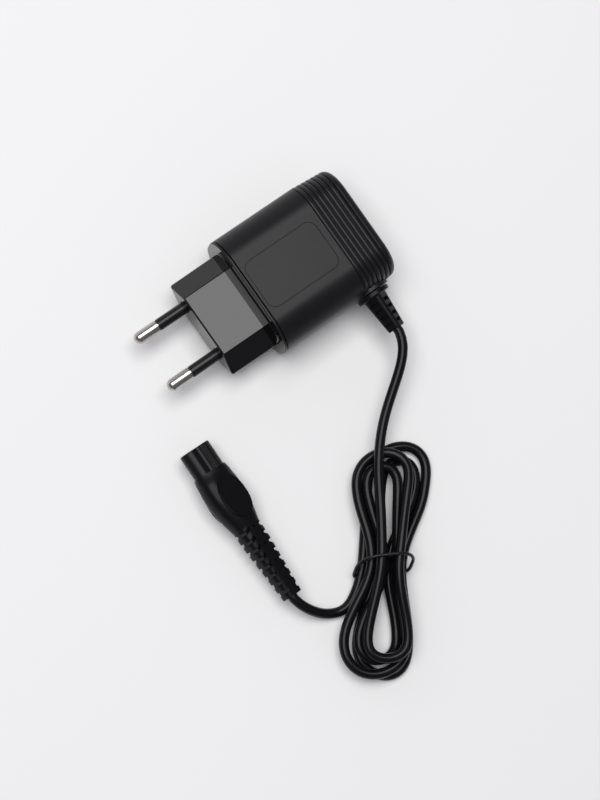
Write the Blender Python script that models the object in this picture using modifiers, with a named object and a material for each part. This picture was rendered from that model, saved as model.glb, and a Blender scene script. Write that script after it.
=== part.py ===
"""Plug-in mains adaptor with its moulded output cord, tied hank and two-pin charging connector.

The adaptor lies on its flat side: pins along -Y, ribbed rear along +Y, cord out of the +X side.
The origin is at the middle of the adaptor's own footprint, on the surface that it lies on.
"""
import math

import bmesh
import bpy
from mathutils import Matrix, Vector

MM = 0.001

# ---------------------------------------------------------------- driving sizes
fit = 0.3 * MM                      # clearance between pieces that seat on each other

# adaptor housing
body_width = 41.4 * MM
body_height = 25.0 * MM
body_length = 44.8 * MM             # from the front rim to the rear end
body_corner = 10.0 * MM
body_wall = 2.0 * MM
rear_round = 2.4 * MM
rib_count = 6
rib_pitch = 1.75 * MM
rib_depth = 0.5 * MM
rib_taper = 0.13 * MM               # each rib stands this much lower than the one before it
rear_land = 2.9 * MM                # from the last groove to the rear end
panel_length = 27.0 * MM
panel_width = 17.0 * MM
panel_corner = 3.0 * MM
panel_setback = 15.6 * MM           # from the front rim to the panel's middle
panel_line = 0.35 * MM
panel_depth = 0.2 * MM

# plug block and front plate
plug_width = 35.3 * MM
plug_height = 13.7 * MM
plug_length = 17.2 * MM
plug_corner = 0.9 * MM
plug_edge = 0.8 * MM
plug_draft = 0.15 * MM
plug_wall = 2.0 * MM
plug_face_wall = 5.0 * MM
plug_drop = 2.5 * MM                # pin axis below the middle of the housing
rim_thickness = 0.8 * MM
rim_edge = 0.3 * MM
step_inset = 4.0 * MM
step_rise = 0.35 * MM
plate_web = 1.6 * MM
lip_length = 3.0 * MM
lip_wall = 1.2 * MM

# pins
pin_spacing = 18.0 * MM
pin_diameter = 4.0 * MM
pin_length = 19.2 * MM
pin_bare_length = 8.6 * MM
pin_shank_diameter = 2.6 * MM
pin_collar_diameter = 4.4 * MM
pin_collar_length = 1.2 * MM
pin_tail_length = 2.6 * MM
sleeve_diameter = 3.9 * MM
sleeve_seat = 2.0 * MM              # how far the sleeve reaches into the plug face

# circuit board and what it carries
board_thickness = 1.6 * MM
board_height = 5.0 * MM             # underside above the surface that the adaptor lies on
board_gap = 0.6 * MM                # from the front plate's lip to the board
board_rear_gap = 3.9 * MM           # from the board to the shell's rear wall
rail_share = 0.66                   # rail spacing as a share of the board's width
rail_width = 2.0 * MM
core_width = 13.2 * MM
core_height = 12.0 * MM
core_depth = 6.0 * MM
core_yoke = 2.0 * MM
core_leg = 1.9 * MM
core_post = 3.4 * MM
winding_depth = 11.0 * MM
can_diameter = 8.0 * MM
can_groove = 0.3 * MM
input_can_height = 13.0 * MM
output_can_height = 11.5 * MM
inductor_diameter = 6.4 * MM
inductor_height = 8.0 * MM
fuse_diameter = 3.2 * MM
fuse_length = 8.0 * MM
diode_diameter = 3.6 * MM
diode_length = 7.4 * MM
chip_edge = 0.3 * MM
bridge_size = (4.6 * MM, 3.6 * MM, 2.4 * MM)
controller_size = (6.0 * MM, 6.8 * MM, 2.6 * MM)
optocoupler_size = (3.0 * MM, 4.8 * MM, 3.2 * MM)
film_size = (3.0 * MM, 7.0 * MM, 7.0 * MM)
film_edge = 1.2 * MM
mains_wire_diameter = 1.4 * MM
output_wire_diameter = 1.2 * MM
output_wire_spacing = 2.0 * MM

# strain relief on the housing
relief_setback = 10.0 * MM          # from the rear end to the relief's axis
relief_land_diameter = 12.6 * MM
relief_land_rise = 0.15 * MM
relief_flange_diameter = 11.2 * MM
relief_flange_length = 1.5 * MM
relief_neck_diameter = 5.4 * MM
relief_collar_diameter = 8.4 * MM
relief_collar_length = 1.4 * MM
relief_length = 12.2 * MM
relief_root = 6.6 * MM              # side of its square section at the flange
relief_tip = 4.9 * MM               # and at the cord
relief_slots = 4
relief_slot_pitch = 2.55 * MM
relief_slot_width = 1.15 * MM
relief_slot_length = 3.5 * MM
relief_slot_depth = 0.9 * MM

# cord, hank and tie
cord_diameter = 3.0 * MM
hank_turns = 4
hank_points = 24                    # points in each turn
hank_upper_length = (39.49 * MM, 36.74 * MM, 35.89 * MM)       # waist to end, by layer
hank_lower_length = (39.3 * MM, 39.08 * MM, 35.3 * MM)
hank_lobe_centre = 26.0 * MM        # from the waist to the middle of each round end
hank_waist = 7.36 * MM              # half width of the outermost turn at the tie
hank_pitch = 4.46 * MM              # sideways step of each turn
hank_layer = 3.67 * MM              # upward step of each layer
hank_upper_radius = (10.56 * MM, 9.35 * MM, 9.65 * MM)  # by layer
hank_lower_radius = (11.76 * MM, 13.67 * MM, 11.37 * MM)
hank_upper_shift = (3.28 * MM, -3.09 * MM, -2.99 * MM)
hank_lower_shift = (0.04 * MM, -1.93 * MM, 0.8 * MM)
hank_upper_lean = (2.38 * MM, 2.03 * MM, 2.53 * MM)         # sideways bow of the round ends
hank_lower_lean = (2.3 * MM, -1.31 * MM, -1.9 * MM)
hank_top_inset = 4.63 * MM          # of the last half turn, which lies on top
hank_place = (94.0 * MM, -14.6 * MM)
hank_angle = 141.2                  # degrees from +X to the hank's upper end
tie_diameter = 1.1 * MM
tie_clearance = 0.6 * MM
tie_corner = 3.4 * MM
tie_shoulder = 6.0 * MM             # of its two upper corners
tie_slant = 10.0                    # degrees across the hank
tie_lean = 27.0                     # degrees from upright, toward the upper end
tie_setback = 1.0 * MM              # of its middle, toward the lower end

# connector
connector_tip = (29.3 * MM, -44.5 * MM)
connector_angle = -1.2              # degrees from +X
connector_roll = -8.0               # degrees about its own axis
connector_height = 6.65 * MM
nose_width = 10.6 * MM
nose_height = 7.4 * MM
nose_length = 8.7 * MM
nose_root = 5.3 * MM                # hidden inside the overmould
nose_valley = 0.14                  # share of the height lost between the two lobes
socket_spacing = 4.8 * MM
socket_mouth = 1.7 * MM
socket_bore = 2.6 * MM
socket_lip = 0.9 * MM
contact_diameter = 2.0 * MM
contact_bore = 1.3 * MM
contact_length = 9.5 * MM
grip_length = 21.1 * MM             # from the nose to the ribs
grip_width = 13.0 * MM
grip_height = 9.5 * MM
grip_end_width = 9.2 * MM
grip_end_height = 8.0 * MM
grip_turn = -18.0                   # degrees, of the overmould against the nose
grip_turn_share = 0.2               # of the grip, along which it turns
pad_length = 14.5 * MM
pad_width = 9.5 * MM
pad_rise = 0.2 * MM
tail_length = 25.7 * MM             # ribbed strain relief behind the grip
tail_tip_width = 6.0 * MM
tail_tip_height = 5.6 * MM
tail_ribs = 8
tail_rib_pitch = 3.15 * MM
tail_slot_width = 1.45 * MM
tail_slot_depth = 1.45 * MM
tail_pocket_depth = 1.3 * MM
tail_pocket_lead = 0.3              # of the pitch, from a side slot to its pocket on the faces
tail_spine = 3.5 * MM               # width of the plain strip along its top

# ---------------------------------------------------------------- worked-out places
total_length = pin_length + plug_length + body_length
face_y = -total_length / 2 + pin_length
front_y = face_y + plug_length
rear_y = front_y + body_length
seam_y = front_y + rim_thickness + fit
middle_z = body_height / 2
pin_z = middle_z - plug_drop
ribs_y = rear_y - rear_land - rib_count * rib_pitch
relief_y = rear_y - relief_setback
land_x = body_width / 2 + relief_land_rise
inner_x = body_width / 2 - body_wall - rib_count * rib_taper
board_y = seam_y + lip_length + board_gap
board_top = board_height + board_thickness
rib_drop = rib_count * rib_taper
shell_inset = body_wall + rib_drop
corner_reach = math.sqrt((body_corner - shell_inset) ** 2 - (body_corner - board_height) ** 2)
board_width = 2 * (body_width / 2 - body_corner + corner_reach - fit)
board_length = rear_y - body_wall - rear_round / 2 - board_rear_gap - board_y
wire_end_x = inner_x - fit - relief_collar_length - fit
wire_bend = 1.4 * output_wire_diameter
wire_step = 1.8 * output_wire_diameter
wire_strip = board_width / 2 - wire_end_x + wire_bend + wire_step + output_wire_diameter
relief_end_x = land_x + fit + relief_flange_length + relief_length

COLOURS = {
    "housing_black": ((0.018, 0.018, 0.019, 1), 0.42, 0.0),
    "plug_black": ((0.012, 0.012, 0.014, 1), 0.06, 0.0),
    "sleeve_black": ((0.015, 0.015, 0.016, 1), 0.25, 0.0),
    "pin_nickel": ((0.62, 0.60, 0.56, 1), 0.18, 1.0),
    "rubber_black": ((0.016, 0.016, 0.017, 1), 0.45, 0.0),
    "cord_black": ((0.014, 0.014, 0.015, 1), 0.22, 0.0),
    "board_green": ((0.05, 0.16, 0.08, 1), 0.45, 0.0),
    "ferrite": ((0.05, 0.05, 0.05, 1), 0.6, 0.0),
    "tape_yellow": ((0.55, 0.38, 0.06, 1), 0.4, 0.0),
    "capacitor_black": ((0.02, 0.02, 0.03, 1), 0.35, 0.0),
    "capacitor_blue": ((0.05, 0.12, 0.35, 1), 0.4, 0.0),
    "chip_black": ((0.02, 0.02, 0.02, 1), 0.5, 0.0),
    "resistor_tan": ((0.35, 0.25, 0.14, 1), 0.5, 0.0),
    "copper": ((0.45, 0.2, 0.1, 1), 0.35, 1.0),
    "brass": ((0.5, 0.38, 0.16, 1), 0.3, 1.0),
    "wire_red": ((0.35, 0.02, 0.02, 1), 0.4, 0.0),
    "wire_blue": ((0.03, 0.06, 0.3, 1), 0.4, 0.0),
}


# ---------------------------------------------------------------- general tools
def clear_scene():
    for item in list(bpy.data.objects):
        bpy.data.objects.remove(item, do_unlink=True)


def new_collection(name):
    group = bpy.data.collections.new(name)
    bpy.context.scene.collection.children.link(group)
    return group


def material(name):
    known = bpy.data.materials.get(name)
    if known:
        return known
    colour, roughness, metallic = COLOURS[name]
    made = bpy.data.materials.new(name)
    made.use_nodes = True
    shader = made.node_tree.nodes["Principled BSDF"]
    shader.inputs["Base Color"].default_value = colour
    shader.inputs["Roughness"].default_value = roughness
    shader.inputs["Metallic"].default_value = metallic
    return made


def add_object(name, data, finish):
    item = bpy.data.objects.new(name, data)
    item.data.materials.append(material(finish))
    parts.objects.link(item)
    return item


def mesh_object(name, shape, finish):
    bmesh.ops.remove_doubles(shape, verts=shape.verts, dist=0.0005 * MM)
    bmesh.ops.recalc_face_normals(shape, faces=shape.faces)
    mesh = bpy.data.meshes.new(name)
    shape.to_mesh(mesh)
    shape.free()
    mesh.shade_smooth()
    mesh.set_sharp_from_angle(angle=math.radians(32))
    return add_object(name, mesh, finish)


def as_tool(item):
    """A cutter or a boss: it shapes another piece and isn't one itself."""
    item.hide_render = True
    item.display_type = "WIRE"
    parts.objects.unlink(item)
    cutters.objects.link(item)
    return item


def shape_with(item, tool, operation):
    step = item.modifiers.new(tool.name, "BOOLEAN")
    step.operation = operation
    step.object = as_tool(tool)
    step.solver = "EXACT"


def cut(item, tool):
    shape_with(item, tool, "DIFFERENCE")


def join(item, tool):
    shape_with(item, tool, "UNION")


def rounded_polygon(corners, radius, steps):
    """Corners run anticlockwise; each one becomes an arc of the given radius."""
    outline = []
    for index, corner in enumerate(corners):
        here = Vector(corner)
        back = (Vector(corners[index - 1]) - here).normalized()
        ahead = (Vector(corners[(index + 1) % len(corners)]) - here).normalized()
        half = back.angle(ahead) / 2
        centre = here + (back + ahead).normalized() * radius / math.sin(half)
        first = here + back * radius / math.tan(half) - centre
        sweep = math.pi - 2 * half
        for step in range(steps + 1):
            turned_by = Matrix.Rotation(sweep * step / steps, 2)
            point = centre + turned_by @ first
            outline.append((point.x, point.y))
    return outline


def rounded_box(width, height, radius, steps=6, turned_by=0.0):
    half_w, half_h = width / 2, height / 2
    corners = [(half_w, -half_h), (half_w, half_h), (-half_w, half_h), (-half_w, -half_h)]
    radius = min(radius, half_w * 0.9999, half_h * 0.9999)
    outline = rounded_polygon(corners, radius, steps)
    swing = Matrix.Rotation(turned_by, 2)
    return [tuple(swing @ Vector(point)) for point in outline]


def superellipse(width, height, power, count):
    outline = []
    for step in range(count):
        angle = 2 * math.pi * step / count
        across = math.copysign(abs(math.cos(angle)) ** (2 / power), math.cos(angle))
        up = math.copysign(abs(math.sin(angle)) ** (2 / power), math.sin(angle))
        outline.append((width / 2 * across, height / 2 * up))
    return outline


def loft(name, stations, axis, finish, centre=(0.0, 0.0)):
    """Stations are (place along the axis, outline) pairs; both ends are capped."""
    shape = bmesh.new()
    rings = []
    for place, outline in stations:
        ring = []
        for first, second in outline:
            across, up = first + centre[0], second + centre[1]
            spot = (across, place, up) if axis == "Y" else (place, across, up)
            ring.append(shape.verts.new(spot))
        rings.append(ring)
    for low, high in zip(rings, rings[1:]):
        for index in range(len(low)):
            after = (index + 1) % len(low)
            shape.faces.new((low[index], low[after], high[after], high[index]))
    shape.faces.new(rings[0])
    shape.faces.new(rings[-1])
    return mesh_object(name, shape, finish)


def box(name, low, high, finish, edge=0.0):
    shape = bmesh.new()
    bmesh.ops.create_cube(shape, size=1.0)
    low, high = Vector(low), Vector(high)
    size = high - low
    bmesh.ops.scale(shape, vec=size, verts=shape.verts)
    bmesh.ops.translate(shape, vec=(low + high) / 2, verts=shape.verts)
    if edge:
        bmesh.ops.bevel(shape, geom=shape.edges, offset=edge, segments=1, affect="EDGES")
    return mesh_object(name, shape, finish)


def turned(name, profile, origin, direction, finish, steps=24, closed=False):
    """Profile points are (radius, height) down the outer side, turned about the direction."""
    mesh = bpy.data.meshes.new(name)
    points = [(radius, 0.0, height) for radius, height in profile]
    edges = [(index, index + 1) for index in range(len(points) - 1)]
    if closed:
        edges.append((len(points) - 1, 0))
    mesh.from_pydata(points, edges, [])
    item = add_object(name, mesh, finish)
    item.location = origin
    item.rotation_mode = "QUATERNION"
    item.rotation_quaternion = Vector(direction).to_track_quat("Z", "Y")
    screw = item.modifiers.new("turn", "SCREW")
    screw.angle = math.tau
    screw.steps = steps
    screw.render_steps = steps
    screw.axis = "Z"
    screw.use_merge_vertices = True
    screw.merge_threshold = 0.0005 * MM
    screw.use_smooth_shade = True
    return item


def rod(name, radius, start, end, finish, steps=24):
    start, end = Vector(start), Vector(end)
    length = (end - start).length
    profile = [(0, length), (radius, length), (radius, 0), (0, 0)]
    return turned(name, profile, start, end - start, finish, steps)


def smooth_route(points, spacing):
    """Even points on a centripetal Catmull-Rom curve through the given ones."""
    points = [Vector(point) for point in points]
    route = [2 * points[0] - points[1]] + points + [2 * points[-1] - points[-2]]
    fine = []
    for index in range(1, len(route) - 2):
        p0, p1, p2, p3 = route[index - 1:index + 3]
        k1 = (p1 - p0).length ** 0.5
        k2 = k1 + (p2 - p1).length ** 0.5
        k3 = k2 + (p3 - p2).length ** 0.5
        for step in range(16):
            k = k1 + (k2 - k1) * step / 16
            a1 = p0 * ((k1 - k) / k1) + p1 * (k / k1)
            a2 = p1 * ((k2 - k) / (k2 - k1)) + p2 * ((k - k1) / (k2 - k1))
            a3 = p2 * ((k3 - k) / (k3 - k2)) + p3 * ((k - k2) / (k3 - k2))
            b1 = a1 * ((k2 - k) / k2) + a2 * (k / k2)
            b2 = a2 * ((k3 - k) / (k3 - k1)) + a3 * ((k - k1) / (k3 - k1))
            fine.append(b1 * ((k2 - k) / (k2 - k1)) + b2 * ((k - k1) / (k2 - k1)))
    fine.append(points[-1])
    reach = [0.0]
    for before, after in zip(fine, fine[1:]):
        reach.append(reach[-1] + (after - before).length)
    count = max(2, round(reach[-1] / spacing))
    even = []
    index = 0
    for step in range(count + 1):
        goal = reach[-1] * step / count
        while index < len(fine) - 2 and reach[index + 1] < goal:
            index += 1
        share = (goal - reach[index]) / (reach[index + 1] - reach[index])
        even.append(fine[index].lerp(fine[index + 1], share))
    return even


def tube(name, points, diameter, finish, roundness=2, cyclic=False):
    curve = bpy.data.curves.new(name, "CURVE")
    curve.dimensions = "3D"
    curve.bevel_depth = diameter / 2
    curve.bevel_resolution = roundness
    curve.use_fill_caps = True
    line = curve.splines.new("POLY")
    line.points.add(len(points) - 1)
    for slot, point in zip(line.points, points):
        slot.co = (*point, 1.0)
    line.use_cyclic_u = cyclic
    return add_object(name, curve, finish)


def route_length(points):
    return sum((after - before).length for before, after in zip(points, points[1:]))


def ease(share):
    share = min(1.0, max(0.0, share))
    return share * share * (3 - 2 * share)


# ---------------------------------------------------------------- adaptor housing
def body_outline(inset, steps=7):
    width, height = body_width - 2 * inset, body_height - 2 * inset
    return rounded_box(width, height, body_corner - inset, steps)


def make_rear_housing():
    inner_back = rear_y - body_wall
    stations = [
        (inner_back, body_outline(shell_inset + rear_round / 2)),
        (inner_back - rear_round / 2, body_outline(shell_inset)),
        (ribs_y, body_outline(shell_inset)),
        (ribs_y - body_wall, body_outline(body_wall)),
        (seam_y, body_outline(body_wall)),
        (seam_y, body_outline(0)),
    ]
    for rib in range(rib_count):
        start = ribs_y + rib * rib_pitch
        crest = rib * rib_taper
        stations.append((start, body_outline(crest + rib_depth if rib else 0)))
        for share, drop in ((0.02, 1.0), (0.2, 0.3), (0.42, 0.0), (0.72, 0.2)):
            stations.append((start + share * rib_pitch, body_outline(crest + drop * rib_depth)))
    stations.append((rear_y - rear_land, body_outline(rib_drop + rib_depth)))
    for step in range(5):
        angle = math.radians(22.5 * step)
        place = rear_y - rear_round * (1 - math.sin(angle))
        stations.append((place, body_outline(rib_drop + rear_round * (1 - math.cos(angle)))))
    housing = loft("rear_housing", stations, "Y", "housing_black", (0, middle_z))

    land = rod("relief_land", relief_land_diameter / 2, (inner_x + body_wall / 4, relief_y, middle_z),
               (land_x, relief_y, middle_z), "housing_black", 32)
    join(housing, land)
    bore = rod("relief_bore", relief_neck_diameter / 2 + fit, (inner_x - body_wall, relief_y, middle_z),
               (land_x + body_wall, relief_y, middle_z), "housing_black")
    cut(housing, bore)
    for side in (-1, 1):
        middle = side * rail_share * board_width / 2
        rail = box(f"board_rail_{side}",
                   (middle - rail_width / 2, board_y, body_wall / 2),
                   (middle + rail_width / 2, board_y + board_length, board_height - fit), "housing_black")
        join(housing, rail)

    outer = rounded_box(panel_length + panel_line, panel_width + panel_line, panel_corner)
    inner = rounded_box(panel_length - panel_line, panel_width - panel_line, panel_corner - panel_line)
    cut(housing, ring_plate("panel_outline", outer, inner))


def ring_plate(name, outer, inner):
    """The engraved outline of the panel on the top face, as a low closed ring."""
    shape = bmesh.new()
    panel_y = front_y + panel_setback
    low, high = body_height - panel_depth, body_height + panel_depth
    rings = []
    for outline, level in ((outer, low), (outer, high), (inner, high), (inner, low)):
        rings.append([shape.verts.new((across, panel_y + along, level)) for along, across in outline])
    for first, second in zip(rings, rings[1:] + rings[:1]):
        for index in range(len(first)):
            after = (index + 1) % len(first)
            shape.faces.new((first[index], first[after], second[after], second[index]))
    return mesh_object(name, shape, "housing_black")


# ---------------------------------------------------------------- plug block and front plate
def plug_outline(inset, steps=3):
    width = plug_width - 2 * math.sqrt(2) * inset
    height = plug_height - 2 * inset
    flat = (width - height) / 2
    half_w, half_h = width / 2, height / 2
    corners = [(half_w, 0), (flat, half_h), (-flat, half_h), (-half_w, 0), (-flat, -half_h), (flat, -half_h)]
    return rounded_polygon(corners, max(plug_corner - inset, 0.1 * MM), steps)


def make_plug_housing():
    lip_inset = body_wall + fit
    plate_stations = [
        (front_y - step_rise, body_outline(step_inset)),
        (front_y, body_outline(step_inset - step_rise / 2)),
        (front_y, body_outline(rim_edge)),
        (front_y + rim_edge, body_outline(0)),
        (front_y + rim_thickness, body_outline(0)),
        (front_y + rim_thickness, body_outline(lip_inset)),
        (seam_y + lip_length, body_outline(lip_inset)),
    ]
    plate = loft("plug_housing", plate_stations, "Y", "plug_black", (0, middle_z))

    block_stations = []
    for step in range(4):
        angle = math.radians(30 * step)
        place = face_y + plug_edge * (1 - math.sin(angle))
        block_stations.append((place, plug_outline(plug_draft + plug_edge * (1 - math.cos(angle)))))
    block_stations.reverse()
    block_stations.append((front_y + plate_web / 2, plug_outline(0)))
    join(plate, loft("plug_block", block_stations, "Y", "plug_black", (0, pin_z)))

    hollow = [
        (face_y + plug_face_wall, plug_outline(plug_wall + plug_draft)),
        (front_y + plate_web * 1.5, plug_outline(plug_wall)),
    ]
    cut(plate, loft("plug_hollow", hollow, "Y", "plug_black", (0, pin_z)))
    lip_hollow = [
        (front_y + plate_web, body_outline(lip_inset + lip_wall)),
        (seam_y + lip_length * 2, body_outline(lip_inset + lip_wall)),
    ]
    cut(plate, loft("lip_hollow", lip_hollow, "Y", "plug_black", (0, middle_z)))
    for side in (-1, 1):
        pin_x = side * pin_spacing / 2
        seat_radius = sleeve_diameter / 2 + fit
        shank_radius = pin_shank_diameter / 2 + fit
        seat = sleeve_seat + fit
        profile = [(0, plug_face_wall), (seat_radius, plug_face_wall), (seat_radius, -seat),
                   (shank_radius, -seat), (shank_radius, -2 * plug_face_wall), (0, -2 * plug_face_wall)]
        bore = turned(f"pin_bore_{side}", profile, (pin_x, face_y, pin_z), (0, -1, 0), "plug_black")
        cut(plate, bore)


# ---------------------------------------------------------------- pins
def make_pin(prefix, side, wire_finish):
    pin_x = side * pin_spacing / 2
    radius = pin_diameter / 2
    shank = pin_shank_diameter / 2
    collar = pin_collar_diameter / 2
    shoulder = pin_length - pin_bare_length
    collar_front = -plug_face_wall - fit
    collar_back = collar_front - pin_collar_length
    back = collar_back - pin_tail_length
    profile = []
    for step in range(6):
        angle = math.radians(18 * step)
        profile.append((radius * math.sin(angle), pin_length - radius * (1 - math.cos(angle))))
    profile += [(radius, shoulder), (shank, shoulder), (shank, collar_front), (collar, collar_front),
                (collar, collar_back), (shank, collar_back), (shank, back), (0, back)]
    turned(f"{prefix}_pin", profile, (pin_x, face_y, pin_z), (0, -1, 0), "pin_nickel")

    outer, inner = sleeve_diameter / 2, shank + fit
    top, bottom = shoulder - fit, -sleeve_seat
    soft = 0.25 * MM
    sleeve = [(outer - soft, top), (outer, top - soft), (outer, bottom), (inner, bottom), (inner, top)]
    turned(f"{prefix}_pin_sleeve", sleeve, (pin_x, face_y, pin_z), (0, -1, 0), "sleeve_black", closed=True)

    start_y = face_y - back + fit
    wire_y = board_y + 1.5 * mains_wire_diameter
    loose = 2 * mains_wire_diameter
    route = [
        (pin_x, start_y, pin_z),
        (pin_x, start_y + mains_wire_diameter, pin_z),
        (pin_x, (start_y + wire_y) / 2, pin_z + loose / 2),
        (pin_x, wire_y - loose / 2, (pin_z + loose / 2 + board_top) / 2 + loose / 2),
        (pin_x, wire_y, board_top + fit + mains_wire_diameter),
        (pin_x, wire_y, board_top + fit),
    ]
    tube(f"{prefix}_wire", smooth_route(route, 1.6 * mains_wire_diameter), mains_wire_diameter, wire_finish)


# ---------------------------------------------------------------- circuit board
def on_board(across, along):
    """A place on top of the board: across from its middle line, along from its front edge."""
    return Vector((across, board_y + along, board_top + fit))


def spread(widths, room, start):
    """Middles of pieces that stand side by side with even gaps."""
    gap = (room - sum(widths)) / (len(widths) + 1)
    middles = []
    place = start + gap
    for width in widths:
        middles.append(place + width / 2)
        place += width + gap
    return middles


def upright_can(name, spot, diameter, height, finish):
    groove = can_groove
    radius = diameter / 2
    profile = [(0, height), (radius - groove, height), (radius, height - groove),
               (radius, 4 * groove), (radius - groove, 3 * groove), (radius - groove, 2 * groove),
               (radius, groove), (radius, 0), (0, 0)]
    turned(name, profile, spot, (0, 0, 1), finish, 20)


def lying_body(name, spot, diameter, length, direction, finish):
    """An axial body that lies on the board."""
    heading = Vector(direction)
    radius = diameter / 2
    soft = radius / 4
    profile = [(0, length), (radius - soft, length), (radius, length - soft), (radius, soft),
               (radius - soft, 0), (0, 0)]
    start = spot + Vector((0, 0, radius)) - heading * length / 2
    turned(name, profile, start, heading, finish, 16)


def board_box(name, spot, size, finish, edge):
    half = Vector((size[0] / 2, size[1] / 2, 0))
    box(name, spot - half, spot + half + Vector((0, 0, size[2])), finish, edge)


def make_transformer(spot):
    half_w, half_d = core_width / 2, core_depth / 2
    core = box("transformer_core", spot - Vector((half_w, half_d, 0)),
               spot + Vector((half_w, half_d, core_height)), "ferrite")
    for side in (-1, 1):
        near, far = side * core_post / 2, side * (half_w - core_leg)
        low = spot + Vector((min(near, far), -core_depth, core_yoke))
        high = spot + Vector((max(near, far), core_depth, core_height - core_yoke))
        cut(core, box(f"core_window_{side}", low, high, "ferrite"))
    outer_w = half_w - core_leg - fit
    inner_w, inner_d = core_post / 2 + fit, half_d + fit
    low_z, high_z = core_yoke + fit, core_height - core_yoke - fit
    winding = box("transformer_winding", spot + Vector((-outer_w, -winding_depth / 2, low_z)),
                  spot + Vector((outer_w, winding_depth / 2, high_z)), "tape_yellow")
    hole = box("winding_hole", spot + Vector((-inner_w, -inner_d, 0)),
               spot + Vector((inner_w, inner_d, core_height)), "tape_yellow")
    cut(winding, hole)


def board_rows():
    """Middles of three rows of parts behind the strip where the mains wires land."""
    landing = 3 * mains_wire_diameter
    return spread((can_diameter, winding_depth, can_diameter), board_length - landing, landing)


def make_board():
    half = board_width / 2
    box("circuit_board", (-half, board_y, board_height), (half, board_y + board_length, board_top),
        "board_green")
    front, middle, rear = board_rows()

    widths = (can_diameter, bridge_size[0], fuse_length, film_size[0])
    can_x, bridge_x, fuse_x, film_x = spread(widths, board_width, -half)
    upright_can("input_capacitor", on_board(can_x, front), can_diameter, input_can_height,
                "capacitor_black")
    board_box("bridge_rectifier", on_board(bridge_x, front), bridge_size, "chip_black", chip_edge)
    lying_body("fuse_resistor", on_board(fuse_x, front), fuse_diameter, fuse_length, (1, 0, 0),
               "resistor_tan")
    board_box("safety_capacitor", on_board(film_x, front), film_size, "capacitor_blue", film_edge)

    inductor_x, core_x = spread((inductor_diameter, core_width), board_width - wire_strip, -half)
    upright_can("filter_inductor", on_board(inductor_x, middle), inductor_diameter, inductor_height,
                "copper")
    make_transformer(on_board(core_x, middle))

    widths = (controller_size[0], optocoupler_size[0], diode_diameter, can_diameter)
    chip_x, opto_x, diode_x, can_x = spread(widths, board_width - wire_strip, -half)
    board_box("controller_chip", on_board(chip_x, rear), controller_size, "chip_black", chip_edge)
    board_box("optocoupler", on_board(opto_x, rear), optocoupler_size, "chip_black", chip_edge)
    lying_body("output_diode", on_board(diode_x, rear), diode_diameter, diode_length, (0, 1, 0),
               "chip_black")
    upright_can("output_capacitor", on_board(can_x, rear), can_diameter, output_can_height,
                "capacitor_black")


def make_output_wires():
    middle = board_rows()[1]
    for name, side, finish in (("positive", -1, "wire_red"), ("negative", 1, "wire_blue")):
        end_y = relief_y + side * output_wire_spacing / 2
        start = on_board(wire_end_x - wire_bend - (wire_step if side > 0 else 0), middle)
        route = [
            start,
            start + Vector((0, 0, output_wire_diameter)),
            (start.x, start.y + wire_bend, (start.z + middle_z) / 2),
            (start.x, (start.y + end_y) / 2, middle_z - output_wire_diameter / 4),
            (start.x, end_y - wire_bend, middle_z),
            (start.x + wire_bend * 0.4, end_y - wire_bend * 0.3, middle_z),
            (start.x + wire_bend, end_y, middle_z),
            (wire_end_x, end_y, middle_z),
        ]
        route = route[:-1] if side < 0 else route
        tube(f"output_wire_{name}", smooth_route(route, 1.6 * output_wire_diameter),
             output_wire_diameter, finish)


# ---------------------------------------------------------------- strain relief on the housing
def relief_section(side, corner, turned_by=math.pi / 4):
    return rounded_box(side, side, corner, 4, turned_by)


def relief_side(x):
    share = (x - (relief_end_x - relief_length)) / relief_length
    return relief_root + (relief_tip - relief_root) * share


def make_relief():
    collar, neck = relief_collar_diameter, relief_neck_diameter
    flange = relief_flange_diameter
    collar_end = inner_x - fit
    flange_start = land_x + fit
    flange_end = flange_start + relief_flange_length
    soft = relief_flange_length / 4
    stations = [
        (collar_end - relief_collar_length, relief_section(collar, collar / 2)),
        (collar_end, relief_section(collar, collar / 2)),
        (collar_end, relief_section(neck, neck / 2)),
        (flange_start, relief_section(neck, neck / 2)),
        (flange_start, relief_section(flange, flange / 2)),
        (flange_end - soft, relief_section(flange, flange / 2)),
        (flange_end, relief_section(flange - 2 * soft, flange / 2 - soft)),
        (flange_end, relief_section(relief_root, relief_root / 4)),
        (relief_end_x - soft, relief_section(relief_tip, relief_tip / 4)),
        (relief_end_x, relief_section(relief_tip - soft, relief_tip / 4)),
    ]
    relief = loft("adaptor_strain_relief", stations, "X", "rubber_black", (relief_y, middle_z))
    cut(relief, slot_group("relief_slots", flange_end))


def slot_group(name, flange_end):
    """Capsule-shaped recesses in a row along each of the four flat sides."""
    shape = bmesh.new()
    first = flange_end + (relief_length - (relief_slots - 1) * relief_slot_pitch) / 2
    for quarter in range(4):
        turn = Matrix.Rotation(math.pi / 4 + quarter * math.pi / 2, 4, "X")
        for slot in range(relief_slots):
            x = first + slot * relief_slot_pitch
            surface = relief_side(x) / 2
            length = relief_slot_length * relief_side(x) / relief_root
            outline = rounded_box(length, relief_slot_width, relief_slot_width / 2, 4)
            rings = []
            for level in (surface - relief_slot_depth, surface + relief_slot_depth):
                spots = [turn @ Vector((x + along, across, level)) for across, along in outline]
                shift = Vector((0, relief_y, middle_z))
                rings.append([shape.verts.new(spot + shift) for spot in spots])
            for index in range(len(outline)):
                after = (index + 1) % len(outline)
                shape.faces.new((rings[0][index], rings[0][after], rings[1][after], rings[1][index]))
            shape.faces.new(rings[0])
            shape.faces.new(rings[1])
    return mesh_object(name, shape, "rubber_black")


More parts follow.
